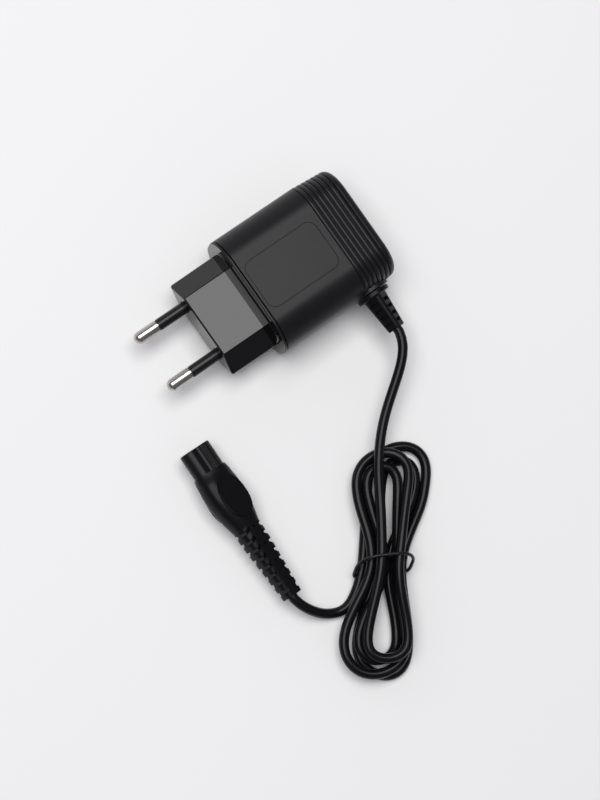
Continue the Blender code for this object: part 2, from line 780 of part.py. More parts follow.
# ---------------------------------------------------------------- hank
# A turn is counted from the left of the waist, up and round the upper end, down the right side,
# round the lower end and back. Two turns spiral in on the lower layer, the next come out on the
# second, and the last half turn lies on top and leaves along the hank.
run_share = 0.12                    # of a turn, from the waist to where a round end begins
first_turn = -0.04
spiral_in_ends = 1.76
spiral_out_starts = 2.13
spiral_out_ends = 3.50
climb_to_second = (1.53, 1.76)
climb_to_top = (3.19, 3.41)
move_inward = (3.31, 3.52)
waist_lift = tie_diameter + 2 * fit


def ramp(turn, span):
    return ease((turn - span[0]) / (span[1] - span[0]))


def by_layer(values, layer):
    lower = min(int(layer), len(values) - 2)
    return values[lower] + (values[lower + 1] - values[lower]) * (layer - lower)


def hank_state(turn):
    inner = hank_pitch * spiral_in_ends
    outer = hank_pitch * (spiral_out_ends - spiral_out_starts)
    if turn < spiral_in_ends:
        inset = hank_pitch * turn
    elif turn < spiral_out_starts:
        inset = inner + (outer - inner) * ramp(turn, (spiral_in_ends, spiral_out_starts))
    else:
        inset = hank_pitch * (spiral_out_ends - turn)
    inset += (hank_top_inset - inset) * ramp(turn, move_inward)
    return inset, ramp(turn, climb_to_second) + ramp(turn, climb_to_top)


def hank_spot(turn):
    """Place across the hank, along it and above the surface."""
    inset, layer = hank_state(turn)
    phase = turn % 1.0
    upper = phase < 0.5
    end = 1 if upper else -1
    within = phase if upper else phase - 0.5
    side = -end if within < 0.25 else end
    from_waist = min(within, 0.5 - within) / run_share
    radius = by_layer(hank_upper_radius if upper else hank_lower_radius, layer)
    shift = by_layer(hank_upper_shift if upper else hank_lower_shift, layer)
    lean = by_layer(hank_upper_lean if upper else hank_lower_lean, layer)
    length = by_layer(hank_upper_length if upper else hank_lower_length, layer)
    if from_waist < 1:
        spread = ease(from_waist)
        across = side * (hank_waist + (radius - hank_waist) * spread - inset) + shift * spread
        along = end * hank_lobe_centre * from_waist
    else:
        spread = 1.0
        angle = math.pi * (within - run_share) / (0.5 - 2 * run_share)
        across = shift - end * (radius - inset) * math.cos(angle) + lean * math.sin(angle) ** 2
        along = end * (hank_lobe_centre + (length - hank_lobe_centre - inset) * math.sin(angle))
    level = cord_diameter / 2 + waist_lift * (1 - spread) + layer * hank_layer
    return across, along, level


def hank_to_world(across, along, level):
    heading = math.radians(hank_angle)
    ahead = Vector((math.cos(heading), math.sin(heading), 0))
    right = Vector((ahead.y, -ahead.x, 0))
    spot = Vector((hank_place[0], hank_place[1], level))
    return spot + ahead * along + right * across


def hank_route():
    last_turn = float(hank_turns)
    count = round((last_turn - first_turn) * hank_points)
    turns = [first_turn + (last_turn - first_turn) * step / count for step in range(count + 1)]
    return [hank_to_world(*hank_spot(turn)) for turn in turns]


def least_gap(points):
    """Clear space between stretches of the cord that aren't neighbours, on finer points."""
    fine = []
    reach = 0.0
    for before, after in zip(points, points[1:]):
        length = (after - before).length
        for step in range(4):
            fine.append((before.lerp(after, step / 4), reach + length * step / 4))
        reach += length
    least = reach
    for index, (spot, place) in enumerate(fine):
        for other, further in fine[index + 1:]:
            if further - place > 3 * cord_diameter:
                least = min(least, (other - spot).length)
    return least - cord_diameter


# ---------------------------------------------------------------- cord, hank and tie
lead_points = (
    (42.6, 27.6, 12.2), (46.6, 23.2, 11.6), (50.0, 18.6, 11.0), (53.4, 14.0, 10.5), (56.6, 10.1, 10.1),
    (60.0, 6.6, 9.8), (63.8, 3.2, 9.5), (69.2, -0.9, 9.4), (77.6, -6.3, 9.7), (84.4, -10.9, 10.1),
)
tail_points = (
    (91.4, -43.7, 5.4), (94.2, -41.8, 3.6), (96.4, -39.4, 2.3), (97.8, -36.7, 1.7), (98.9, -33.6, 1.7),
)


def free_stretch(start, heading, route_points, end, leaving):
    """A limp stretch that starts along the heading and ends where the last direction points out."""
    route = [start + heading * cord_diameter]
    route += [Vector(point) * MM for point in route_points]
    route.append(end + leaving * cord_diameter)
    return [start] + smooth_route(route, 1.6 * cord_diameter) + [end]


def make_cord():
    hank = hank_route()
    gap = least_gap(hank)
    tube("cord_hank", hank, cord_diameter, "cord_black", 1)

    exit_spot = Vector((relief_end_x + fit, relief_y, middle_z))
    onward = (hank[-1] - hank[-2]).normalized()
    lead = free_stretch(exit_spot, Vector((1, 0, 0)), lead_points, hank[-1] + onward * fit, onward)
    tube("cord_lead", lead, cord_diameter, "cord_black")

    back_end = nose_length + grip_length + tail_length
    start = connector_frame() @ Vector((back_end + fit, 0, 0))
    heading = connector_frame().to_3x3() @ Vector((1, 0, 0))
    before = (hank[0] - hank[1]).normalized()
    tail = free_stretch(start, heading, tail_points, hank[0] + before * fit, before)
    tube("cord_tail", tail, cord_diameter, "cord_black")

    lengths = [route_length(route) / MM for route in (lead, hank, tail)]
    print("cord mm: lead %.1f hank %.1f tail %.1f" % tuple(lengths))
    print("whole cord: %.1f mm" % (sum(lengths) + 2 * fit / MM))
    print("least gap of the hank to itself: %.2f mm" % (gap / MM))


def make_tie():
    near = [hank_spot(first_turn + step / 200) for step in range(int((hank_turns - first_turn) * 200))]
    reach = hank_waist
    near = [spot for spot in near if abs(spot[1]) < reach]
    margin = cord_diameter / 2 + tie_diameter / 2 + tie_clearance
    left = min(spot[0] for spot in near) - margin
    right = max(spot[0] for spot in near) + margin
    low = tie_diameter / 2 + fit / 2
    high = max(spot[2] for spot in near) + margin
    steps = 5
    below = rounded_box(right - left, high - low, tie_corner, steps)
    above = rounded_box(right - left, high - low, tie_shoulder, steps)
    outline = below[:steps + 1] + above[steps + 1:3 * steps + 3] + below[3 * steps + 3:]
    slant, lean = math.tan(math.radians(tie_slant)), math.tan(math.radians(tie_lean))
    points = []
    for across, up in outline:
        along = slant * across + lean * up - tie_setback
        points.append(hank_to_world((left + right) / 2 + across, along, (low + high) / 2 + up))
    tube("hank_tie", points, tie_diameter, "rubber_black", 1, cyclic=True)


# ---------------------------------------------------------------- connector
def connector_frame():
    place = Matrix.Translation((connector_tip[0], connector_tip[1], connector_height))
    swing = Matrix.Rotation(math.radians(connector_angle), 4, "Z")
    roll = Matrix.Rotation(math.radians(connector_roll), 4, "X")
    return place @ swing @ roll


def nose_outline(extra=0.0, count=40):
    """Two lobes side by side with a valley between them, above and below."""
    outline = []
    lobe_gap = nose_width / 9
    for across, up in superellipse(nose_width + 2 * extra, nose_height + 2 * extra, 2.6, count):
        dip = nose_valley * math.exp(-(across / lobe_gap) ** 2)
        outline.append((across, up * (1 - dip)))
    return outline


def hold_on_connector(item):
    item.parent = connector_axis
    return item


nose_end = nose_length + nose_root
groove_places = (0.31, 0.52, 0.72)      # of half the nose's width
groove_depths = (0.9 * MM, 0.4 * MM, 0.4 * MM)
groove_width = 0.45 * MM


def make_nose():
    soft = 0.35 * MM
    stations = [(0, nose_outline(-soft)), (soft, nose_outline()), (nose_end, nose_outline())]
    nose = hold_on_connector(loft("connector_nose", stations, "X", "rubber_black"))
    for number, (share, depth) in enumerate(zip(groove_places, groove_depths)):
        across = share * nose_width / 2
        top = nose_height / 2 * (1 - abs(share) ** 2.6) ** (1 / 2.6)
        low = (-nose_length, across - groove_width / 2, top - depth)
        high = (nose_length, across + groove_width / 2, nose_height)
        cut(nose, hold_on_connector(box(f"nose_groove_{number}", low, high, "rubber_black")))
    for side in (-1, 1):
        across = side * socket_spacing / 2
        mouth, bore = socket_mouth / 2, socket_bore / 2
        profile = [(0, nose_length), (mouth, nose_length), (mouth, -socket_lip), (bore, -socket_lip),
                   (bore, -2 * nose_end), (0, -2 * nose_end)]
        cutter = turned(f"socket_bore_{side}", profile, (0, across, 0), (-1, 0, 0), "rubber_black", 12)
        cut(nose, hold_on_connector(cutter))
        outer, inner = contact_diameter / 2, contact_bore / 2
        front = socket_lip + fit
        wall = [(outer, -front), (outer, -front - contact_length), (inner, -front - contact_length),
                (inner, -front)]
        name = "connector_contact_left" if side < 0 else "connector_contact_right"
        hold_on_connector(turned(name, wall, (0, across, 0), (-1, 0, 0), "brass", 12, closed=True))


def grip_outline(x):
    """Section of the overmould at a place behind the tip."""
    start, end = nose_length, nose_length + grip_length
    share = (x - start) / grip_length
    if share < 1:
        swell = math.sin(math.pi * min(1.0, share / 0.98)) ** 0.9 if 0 < share < 0.98 else 0.0
        width = nose_width + 2.2 * fit + (grip_end_width - nose_width - 2.2 * fit) * ease(share)
        height = nose_height + 2.2 * fit + (grip_end_height - nose_height - 2.2 * fit) * ease(share)
        width += (grip_width - (nose_width + grip_end_width) / 2) * swell
        height += (grip_height - (nose_height + grip_end_height) / 2) * swell
        swing = Matrix.Rotation(math.radians(grip_turn * ease(share / grip_turn_share)), 2)
        return [tuple(swing @ Vector(point)) for point in superellipse(width, height, 2.5, 40)]
    back = min(1.0, (x - end) / tail_length)
    width = grip_end_width + (tail_tip_width - grip_end_width) * back
    height = grip_end_height + (tail_tip_height - grip_end_height) * back
    swing = Matrix.Rotation(math.radians(grip_turn), 2)
    outline = superellipse(width, height, 2.5 + 0.8 * ease(4 * back), 40)
    return [tuple(swing @ Vector(point)) for point in outline]


def tail_half_width(x):
    back = (x - nose_length - grip_length) / tail_length
    return (grip_end_width + (tail_tip_width - grip_end_width) * back) / 2


def tail_half_height(x):
    back = (x - nose_length - grip_length) / tail_length
    return (grip_end_height + (tail_tip_height - grip_end_height) * back) / 2


def make_overmould():
    grip_end = nose_length + grip_length
    tail_end = grip_end + tail_length
    places = [nose_length + grip_length * share for share in
              (0, 0.06, 0.13, 0.2, 0.28, 0.37, 0.46, 0.55, 0.65, 0.75, 0.84, 0.92)]
    places += [grip_end, grip_end + tail_length / 4, tail_end]
    stations = [(x, grip_outline(x)) for x in places]
    body = hold_on_connector(loft("connector_overmould", stations, "X", "rubber_black"))

    for side in (-1, 1):
        outline = superellipse(pad_length, pad_width, 2.3, 32)
        pad_x = nose_length + grip_length * 0.5
        shape = bmesh.new()
        low, high = sorted((side * grip_height / 4, side * (grip_height / 2 + pad_rise)))
        add_prism(shape, [(pad_x + along, across) for along, across in outline], low, high)
        join(body, turned_with_grip(mesh_object(f"thumb_pad_{side}", shape, "rubber_black")))

    pocket = [(nose_length - nose_root, nose_outline(fit)), (nose_end + fit, nose_outline(fit))]
    cut(body, hold_on_connector(loft("nose_pocket", pocket, "X", "rubber_black")))
    slots, pockets = tail_cutters(grip_end)
    cut(body, turned_with_grip(mesh_object("tail_slots", slots, "rubber_black")))
    cut(body, turned_with_grip(mesh_object("tail_pockets", pockets, "rubber_black")))


def turned_with_grip(item):
    item.rotation_euler.x = math.radians(grip_turn)
    return hold_on_connector(item)


def tail_cutters(grip_end):
    """Side slots between the ribs, and the pockets that run from each of them toward the spine."""
    slots, pockets = bmesh.new(), bmesh.new()
    first = grip_end + (tail_length - (tail_ribs - 0.5) * tail_rib_pitch)
    half = tail_slot_width / 2
    for rib in range(tail_ribs):
        slot_x = first + (rib - 0.25) * tail_rib_pitch
        pocket_x = slot_x - tail_pocket_lead * tail_rib_pitch
        edge = tail_half_width(slot_x)
        inner, outer = edge - tail_slot_depth, edge + tail_slot_depth
        meeting = inner + tail_slot_depth / 4
        top = tail_half_height(pocket_x)
        for side in (-1, 1):
            plan = [(slot_x - half, side * inner), (slot_x + half, side * inner),
                    (slot_x + half, side * outer), (slot_x - half, side * outer)]
            add_prism(slots, plan, -grip_height, grip_height)
            if meeting > tail_spine / 2:
                plan = [(pocket_x - half, side * tail_spine / 2), (pocket_x + half, side * tail_spine / 2),
                        (slot_x + half, side * meeting), (slot_x - half, side * meeting)]
                add_prism(pockets, plan, top - tail_pocket_depth, top + tail_pocket_depth)
                add_prism(pockets, plan, -top - tail_pocket_depth, -top + tail_pocket_depth)
    return slots, pockets


def add_prism(shape, plan, low, high):
    """A closed prism over a plan of (x, y) points."""
    rings = [[shape.verts.new((x, y, level)) for x, y in plan] for level in (low, high)]
    for index in range(len(plan)):
        after = (index + 1) % len(plan)
        shape.faces.new((rings[0][index], rings[0][after], rings[1][after], rings[1][index]))
    shape.faces.new(rings[0])
    shape.faces.new(rings[1])


# ---------------------------------------------------------------- assembly
clear_scene()
parts = new_collection("mains_adaptor")
cutters = new_collection("mains_adaptor_cutters")
connector_axis = bpy.data.objects.new("connector_axis", None)
connector_axis.matrix_world = connector_frame()
parts.objects.link(connector_axis)

make_rear_housing()
make_plug_housing()
make_pin("live", -1, "wire_red")
make_pin("neutral", 1, "wire_blue")
make_board()
make_output_wires()
make_relief()
make_cord()
make_tie()
make_nose()
make_overmould()
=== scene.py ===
import math

import bmesh
import bpy
from mathutils import Matrix, Vector
from mathutils.kdtree import KDTree


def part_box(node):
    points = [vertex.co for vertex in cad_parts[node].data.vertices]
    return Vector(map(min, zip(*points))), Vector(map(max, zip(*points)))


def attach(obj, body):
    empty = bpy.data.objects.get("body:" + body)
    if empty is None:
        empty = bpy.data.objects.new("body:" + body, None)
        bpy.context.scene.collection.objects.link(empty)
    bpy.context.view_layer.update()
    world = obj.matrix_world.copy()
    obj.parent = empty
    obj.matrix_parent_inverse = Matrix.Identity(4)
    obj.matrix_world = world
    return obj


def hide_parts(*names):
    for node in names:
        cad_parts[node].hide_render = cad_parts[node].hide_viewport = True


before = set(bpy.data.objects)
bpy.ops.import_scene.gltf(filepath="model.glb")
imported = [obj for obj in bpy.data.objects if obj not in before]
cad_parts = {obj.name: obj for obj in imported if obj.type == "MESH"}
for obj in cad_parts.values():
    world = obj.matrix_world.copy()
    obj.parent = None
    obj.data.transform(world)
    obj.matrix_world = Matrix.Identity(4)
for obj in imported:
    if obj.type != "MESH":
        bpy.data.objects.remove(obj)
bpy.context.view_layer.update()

MM = 0.001
BODY = "root"

# ----- sizes, mostly those of the part's source
fit = 0.3 * MM
body_width = 41.4 * MM
body_height = 25.0 * MM
body_length = 44.8 * MM
body_corner = 10.0 * MM
body_wall = 2.0 * MM
body_edge = 0.12 * MM
body_corner_steps = 22
rear_round = 2.4 * MM
rib_count = 6
rib_pitch = 1.75 * MM
rib_depth = 0.5 * MM
rib_taper = 0.13 * MM
rib_lead = 0.06 * MM
rib_lead_drop = 0.05 * MM
rib_shares = (0.02, 0.08, 0.14, 0.2, 0.27, 0.35, 0.45, 0.55, 0.65, 0.75, 0.85, 0.93, 0.98)
rib_groove_share = 0.13
rib_crest_share = 0.45
rib_crown = 0.62
rib_crown_power = 2.2
rib_end_shares = ((0.02, 0.9), (0.12, 0.5), (0.22, 0.0))
rear_land = 2.9 * MM
panel_length = 27.0 * MM
panel_width = 17.0 * MM
panel_corner = 3.0 * MM
panel_setback = 15.6 * MM
panel_line = 0.45 * MM
panel_depth = 0.3 * MM
panel_corner_steps = 12
plug_width = 35.3 * MM
plug_height = 13.7 * MM
plug_length = 17.2 * MM
plug_corner = 0.9 * MM
plug_least_corner = 0.1 * MM
plug_edge = 0.8 * MM
plug_draft = 0.15 * MM
plug_wall = 2.0 * MM
plug_face_wall = 5.0 * MM
plug_drop = 2.5 * MM
plug_corner_steps = 7
gloss_end = 0.02 * MM
rim_thickness = 0.8 * MM
rim_edge = 0.3 * MM
step_inset = 4.0 * MM
step_rise = 0.35 * MM
step_shares = (0.02, 0.3, 0.7, 1.0)
plate_web = 1.6 * MM
lip_length = 3.0 * MM
lip_wall = 1.2 * MM
pin_spacing = 18.0 * MM
pin_diameter = 4.0 * MM
pin_length = 19.2 * MM
pin_bare_length = 8.6 * MM
pin_shank_diameter = 2.6 * MM
pin_collar_diameter = 4.4 * MM
pin_collar_length = 1.2 * MM
pin_tail_length = 2.6 * MM
pin_edge = 0.15 * MM
sleeve_diameter = 3.9 * MM
sleeve_seat = 2.0 * MM
rail_share = 0.66
rail_width = 2.0 * MM
relief_setback = 10.0 * MM
relief_land_diameter = 12.6 * MM
relief_land_rise = 0.15 * MM
relief_land_edge = 0.12 * MM
relief_flange_diameter = 11.2 * MM
relief_flange_length = 1.5 * MM
relief_neck_diameter = 5.4 * MM
relief_collar_diameter = 8.4 * MM
relief_collar_length = 1.4 * MM
relief_length = 12.2 * MM
relief_root = 6.6 * MM
relief_tip = 4.9 * MM
relief_slots = 4
relief_slot_pitch = 2.55 * MM
relief_slot_width = 1.15 * MM
relief_slot_length = 3.5 * MM
relief_slot_depth = 0.9 * MM
relief_foot_shares = (1.0, 0.5, 0.15, 0.0)
relief_edge = 0.1 * MM
cord_diameter = 3.3 * MM
cord_step = 0.4 * cord_diameter
route_steps = 16
cord_ease_passes = 8
strand_gap = 0.05 * MM
strand_skip = 8
strand_passes = 16
hank_turns = 4
# Each lobe's length, radius, shift and lean, in the layers from the table up.
hank_upper = (
    (39.49 * MM, 36.74 * MM, 35.89 * MM),
    (10.56 * MM, 9.35 * MM, 9.65 * MM),
    (3.28 * MM, -3.09 * MM, -2.99 * MM),
    (2.38 * MM, 2.03 * MM, 2.53 * MM),
)
hank_lower = (
    (39.3 * MM, 39.08 * MM, 35.3 * MM),
    (11.76 * MM, 13.67 * MM, 11.37 * MM),
    (0.04 * MM, -1.93 * MM, 0.8 * MM),
    (2.3 * MM, -1.31 * MM, -1.9 * MM),
)
hank_lobe_centre = 26.0 * MM
hank_waist = 7.36 * MM
hank_pitch = 4.46 * MM
hank_layer = 3.67 * MM
hank_top_inset = 4.63 * MM
hank_place = (94.0 * MM, -14.6 * MM)
hank_angle = 141.2
hank_turn_steps = 48
tie_diameter = 1.1 * MM
tie_clearance = 0.15 * MM
tie_corner = 3.4 * MM
tie_shoulder = 6.0 * MM
tie_slant = 10.0
tie_lean = 27.0
tie_setback = 1.0 * MM
tie_reach = 5.0 * MM
tie_samples = 200
tie_steps = 10
connector_tip = (29.3 * MM, -44.5 * MM)
connector_angle = -1.2
connector_roll = -8.0
connector_height = 6.65 * MM
nose_width = 10.6 * MM
nose_height = 7.4 * MM
nose_length = 8.7 * MM
nose_root = 5.3 * MM
nose_power = 2.3
nose_edge = 0.35 * MM
nose_insert_edge = 0.08 * MM
nose_valley = 0.32
lobe_gap = nose_width / 8
groove_places = (0.31, 0.52, 0.72)
groove_depths = (0.9 * MM, 0.4 * MM, 0.4 * MM)
groove_width = 0.45 * MM
ring_points = 96
socket_spacing = 4.8 * MM
socket_mouth = 1.7 * MM
socket_bore = 2.6 * MM
socket_lip = 0.9 * MM
grip_length = 21.1 * MM
grip_width = 13.0 * MM
grip_height = 9.5 * MM
grip_end_width = 9.2 * MM
grip_end_height = 8.0 * MM
grip_turn = -18.0
grip_turn_share = 0.2
grip_lip = 2.2 * fit
grip_swell_end = 0.98
grip_swell_power = 0.9
grip_power = 2.5
grip_steps = 44
grip_edge = 0.12 * MM
pad_length = 14.5 * MM
pad_width = 9.5 * MM
pad_rise = 0.2 * MM
pad_power = 2.3
pad_inset = 0.55 * MM
pad_line = 0.22 * MM
pad_line_depth = 0.12 * MM
pad_line_foot = (0.7, 0.3)
tail_length = 25.7 * MM
tail_tip_width = 6.0 * MM
tail_tip_height = 5.6 * MM
tail_ribs = 8
tail_rib_pitch = 3.15 * MM
tail_slot_width = 1.45 * MM
tail_slot_depth = 1.45 * MM
tail_pocket_depth = 1.3 * MM
tail_pocket_lead = 0.3
tail_spine = 3.5 * MM
tail_squareness = 0.8
tail_steps = 26
tail_corner_share = 0.28
tail_corner_room = 0.45
spine_hole = 0.4 * MM
spine_hole_depth = 0.2 * MM

total_length = pin_length + plug_length + body_length
face_y = -total_length / 2 + pin_length
front_y = face_y + plug_length
rear_y = front_y + body_length
seam_y = front_y + rim_thickness + fit
middle_z = body_height / 2
pin_z = middle_z - plug_drop
rib_drop = rib_count * rib_taper
shell_inset = body_wall + rib_drop
inner_x = body_width / 2 - shell_inset
nose_end = nose_length + nose_root
grip_end = nose_length + grip_length
ribs_y = rear_y - rear_land - rib_count * rib_pitch
relief_y = rear_y - relief_setback
land_x = body_width / 2 + relief_land_rise
relief_end_x = land_x + fit + relief_flange_length + relief_length
back_end = nose_length + grip_length + tail_length

# ----- values for the camera and the studio
camera_right = Vector((0.5758, 0.8016, 0.1609))
camera_down = Vector((0.8175, -0.5612, -0.1291))
camera_ahead = Vector((-0.0132, 0.2058, -0.9785))
camera_eye = Vector((44.2, -138.63, 630.1)) * MM
sensor_width = 36
picture_width = 600
focal_pixels = 2000
table_size = 1.2
table_colour = (0.875, 0.875, 0.865)
table_roughness = 0.9
table_specular = 0.1
softbox_place = (-0.42, -0.15, 1.8)
softbox_size = (1.25, 1.75)
softbox_radiance = 5.0
panel_lamp_place = (-1.6, 0.0, 0.5)
panel_lamp_turn = (0, -90, 0)
panel_lamp_size = (1.0, 3.0)
panel_lamp_radiance = 0.5
panel_lamp_colour = (0.93, 0.88, 1.0)
room_colour = (0.90, 0.87, 1.0)
room_light = 0.2


# ----- camera
def make_camera():
    """The photograph's view: from above, a little toward the pins, with the pins at the lower left."""
    camera = bpy.data.objects.new("camera", bpy.data.cameras.new("camera"))
    bpy.context.scene.collection.objects.link(camera)
    turn = Matrix((camera_right, -camera_down, -camera_ahead)).transposed().to_4x4()
    camera.matrix_world = Matrix.Translation(camera_eye) @ turn
    camera.data.sensor_fit = "HORIZONTAL"
    camera.data.sensor_width = sensor_width
    camera.data.lens = sensor_width * focal_pixels / picture_width
    camera.data.clip_start = 0.01
    bpy.context.scene.camera = camera


# ----- materials
cloud_scale = 60
scratch_scale = 900
plain = (1, 1, 1)

# Moulded and coated surfaces: darkest and lightest colour, span of roughness, scale and height of
# the grain, specular level.
PLASTICS = {
    "housing_plastic": ((0.007, 0.007, 0.008), (0.010, 0.010, 0.011), (0.33, 0.41), 2600, 0.015 * MM, 0.22),
    "plug_plastic": ((0.002, 0.002, 0.002), (0.003, 0.003, 0.003), (0.03, 0.07), 300, 0.001 * MM, 0.45),
    "sleeve_plastic": ((0.006, 0.006, 0.006), (0.009, 0.009, 0.009), (0.22, 0.32), 900, 0.003 * MM, 0.3),
    "relief_rubber": ((0.004, 0.004, 0.005), (0.006, 0.006, 0.007), (0.26, 0.36), 1500, 0.01 * MM, 0.13),
    "cord_sheath": ((0.004, 0.004, 0.005), (0.006, 0.006, 0.007), (0.17, 0.24), 900, 0.003 * MM, 0.17),
    "connector_plastic": ((0.005, 0.005, 0.006), (0.008, 0.008, 0.009), (0.26, 0.36),
                          1500, 0.008 * MM, 0.17),
    "tie_wire": ((0.005, 0.005, 0.006), (0.008, 0.008, 0.009), (0.3, 0.45), 1500, 0.01 * MM, 0.3),
    "board": ((0.03, 0.11, 0.05), (0.05, 0.16, 0.08), (0.35, 0.5), 700, 0.02 * MM, 0.5),
    "ferrite": ((0.03, 0.03, 0.03), (0.06, 0.06, 0.06), (0.55, 0.75), 900, 0.03 * MM, 0.5),
    "winding_tape": ((0.5, 0.33, 0.05), (0.62, 0.43, 0.08), (0.3, 0.4), 500, 0.02 * MM, 0.5),
    "can_sleeve": ((0.015, 0.015, 0.02), (0.03, 0.03, 0.04), (0.3, 0.4), 500, 0.01 * MM, 0.5),
    "film_case": ((0.04, 0.1, 0.3), (0.06, 0.14, 0.4), (0.35, 0.45), 700, 0.02 * MM, 0.5),
    "chip_plastic": ((0.018, 0.018, 0.018), (0.03, 0.03, 0.03), (0.5, 0.65), 1200, 0.02 * MM, 0.5),
    "resistor_coat": ((0.3, 0.21, 0.11), (0.4, 0.29, 0.17), (0.5, 0.6), 700, 0.02 * MM, 0.5),
    "wire_red": ((0.3, 0.015, 0.015), (0.4, 0.03, 0.03), (0.35, 0.45), 700, 0.01 * MM, 0.5),
    "wire_blue": ((0.02, 0.05, 0.25), (0.04, 0.08, 0.35), (0.35, 0.45), 700, 0.01 * MM, 0.5),
}

# Metals: darkest and lightest colour, span of roughness, stretch of the marks along x, y and z.
METALS = {
    "pin_metal": ((0.42, 0.40, 0.37), (0.56, 0.54, 0.50), (0.16, 0.30), (1, 0.2, 1)),
    "copper_winding": ((0.4, 0.16, 0.07), (0.55, 0.25, 0.12), (0.3, 0.4), (1, 1, 6)),
    "contact_metal": ((0.45, 0.33, 0.13), (0.6, 0.46, 0.2), (0.25, 0.4), (0.2, 1, 1)),
}


def new_material(name):
    made = bpy.data.materials.new(name)
    made.use_nodes = True
    nodes = made.node_tree.nodes
    return made, nodes, made.node_tree.links, nodes["Principled BSDF"]


def scaled_noise(nodes, links, scale, detail, stretch=plain):
    coordinates = nodes.new("ShaderNodeTexCoord")
    mapping = nodes.new("ShaderNodeMapping")
    mapping.inputs["Scale"].default_value = stretch
    noise = nodes.new("ShaderNodeTexNoise")
    noise.inputs["Scale"].default_value = scale
    noise.inputs["Detail"].default_value = detail
    links.new(coordinates.outputs["Object"], mapping.inputs["Vector"])
    links.new(mapping.outputs["Vector"], noise.inputs["Vector"])
    return noise


def mottled(name, dark, light, rough, scale, detail, stretch=plain):
    """A material whose colour and gloss change slowly and faintly from place to place."""
    made, nodes, links, shader = new_material(name)
    cloud = scaled_noise(nodes, links, scale, detail, stretch)
    tint = nodes.new("ShaderNodeMix")
    tint.data_type = "RGBA"
    tint.inputs["A"].default_value = (*dark, 1)
    tint.inputs["B"].default_value = (*light, 1)
    links.new(cloud.outputs["Fac"], tint.inputs["Factor"])
    links.new(tint.outputs["Result"], shader.inputs["Base Color"])
    gloss = nodes.new("ShaderNodeMapRange")
    gloss.inputs["To Min"].default_value, gloss.inputs["To Max"].default_value = rough
    links.new(cloud.outputs["Fac"], gloss.inputs["Value"])
    links.new(gloss.outputs["Result"], shader.inputs["Roughness"])
    return made, nodes, links, shader


def plastic(name, dark, light, rough, grain_scale, grain_height, specular):
    """Plastic or rubber, with a fine grain in its surface."""
    made, nodes, links, shader = mottled(name, dark, light, rough, cloud_scale, 3.0)
    grain = scaled_noise(nodes, links, grain_scale, 2.0)
    bump = nodes.new("ShaderNodeBump")
    bump.inputs["Strength"].default_value = 1.0
    bump.inputs["Distance"].default_value = grain_height
    links.new(grain.outputs["Fac"], bump.inputs["Height"])
    links.new(bump.outputs["Normal"], shader.inputs["Normal"])
    shader.inputs["Specular IOR Level"].default_value = specular
    return made


def metal(name, dark, light, rough, stretch):
    made, _, _, shader = mottled(name, dark, light, rough, scratch_scale, 4.0, stretch)
    shader.inputs["Metallic"].default_value = 1.0
    return made


def make_materials():
    made = {name: plastic(name, *looks) for name, looks in PLASTICS.items()}
    made.update({name: metal(name, *looks) for name, looks in METALS.items()})
    return made


# The finish of each solid that shows as it is.
NODE_FINISHES = {
    "wire_red": ("live_wire", "output_wire_positive"),
    "wire_blue": ("neutral_wire", "output_wire_negative"),
    "board": ("circuit_board",),
    "ferrite": ("transformer_core",),
    "winding_tape": ("transformer_winding",),
    "can_sleeve": ("input_capacitor", "output_capacitor"),
    "copper_winding": ("filter_inductor",),
    "chip_plastic": ("bridge_rectifier", "controller_chip", "optocoupler", "output_diode"),
    "film_case": ("safety_capacitor",),
    "resistor_coat": ("fuse_resistor",),
    "contact_metal": ("connector_contact_left", "connector_contact_right"),
}


def finish_solids():
    for name, nodes in NODE_FINISHES.items():
        for node in nodes:
            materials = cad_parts[node].data.materials
            materials.clear()
            materials.append(finishes[name])


# ----- general tools
edge_steps = 3
edge_angle = 42.0
sharp_angle = 35.0
weld_distance = 0.0005 * MM
axis_radius = 0.001 * MM
normal_weight = 80
largest_round = 0.9999
ADD = "UNION"
CUT = "DIFFERENCE"


def add_piece(name, data, slot, *replaced, edge=0.0):
    """A finished piece that stands for solids of the frame; edge rounds its sharp edges."""
    item = bpy.data.objects.new(name, data)
    data.materials.clear()
    data.materials.append(finishes[slot])
    bpy.context.scene.collection.objects.link(item)
    if edge:
        rounding = item.modifiers.new("edges", "BEVEL")
        rounding.width = edge
        rounding.segments = edge_steps
        rounding.limit_method = "ANGLE"
        rounding.angle_limit = math.radians(edge_angle)
        rounding.use_clamp_overlap = True
    if isinstance(data, bpy.types.Mesh):
        normals = item.modifiers.new("normals", "WEIGHTED_NORMAL")
        normals.mode = "FACE_AREA"
        normals.keep_sharp = True
        normals.weight = normal_weight
    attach(item, BODY)
    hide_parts(*replaced)
    return item


def smooth_shaded(mesh):
    mesh.shade_smooth()
    mesh.set_sharp_from_angle(angle=math.radians(sharp_angle))
    return mesh


def mesh_from(name, shape):
    bmesh.ops.remove_doubles(shape, verts=shape.verts, dist=weld_distance)
    bmesh.ops.recalc_face_normals(shape, faces=shape.faces)
    mesh = bpy.data.meshes.new(name)
    shape.to_mesh(mesh)
    shape.free()
    return smooth_shaded(mesh)


def moved(mesh, matrix):
    mesh.transform(matrix)
    return mesh


def bridge(shape, first, second):
    """A band of faces between two rings with as many vertices."""
    for index in range(len(first)):
        after = (index + 1) % len(first)
        shape.faces.new((first[index], first[after], second[after], second[index]))


def capped(shape, rings):
    """Bands from ring to ring, and a face over each end."""
    for low, high in zip(rings, rings[1:]):
        bridge(shape, low, high)
    shape.faces.new(rings[0])
    shape.faces.new(rings[-1])


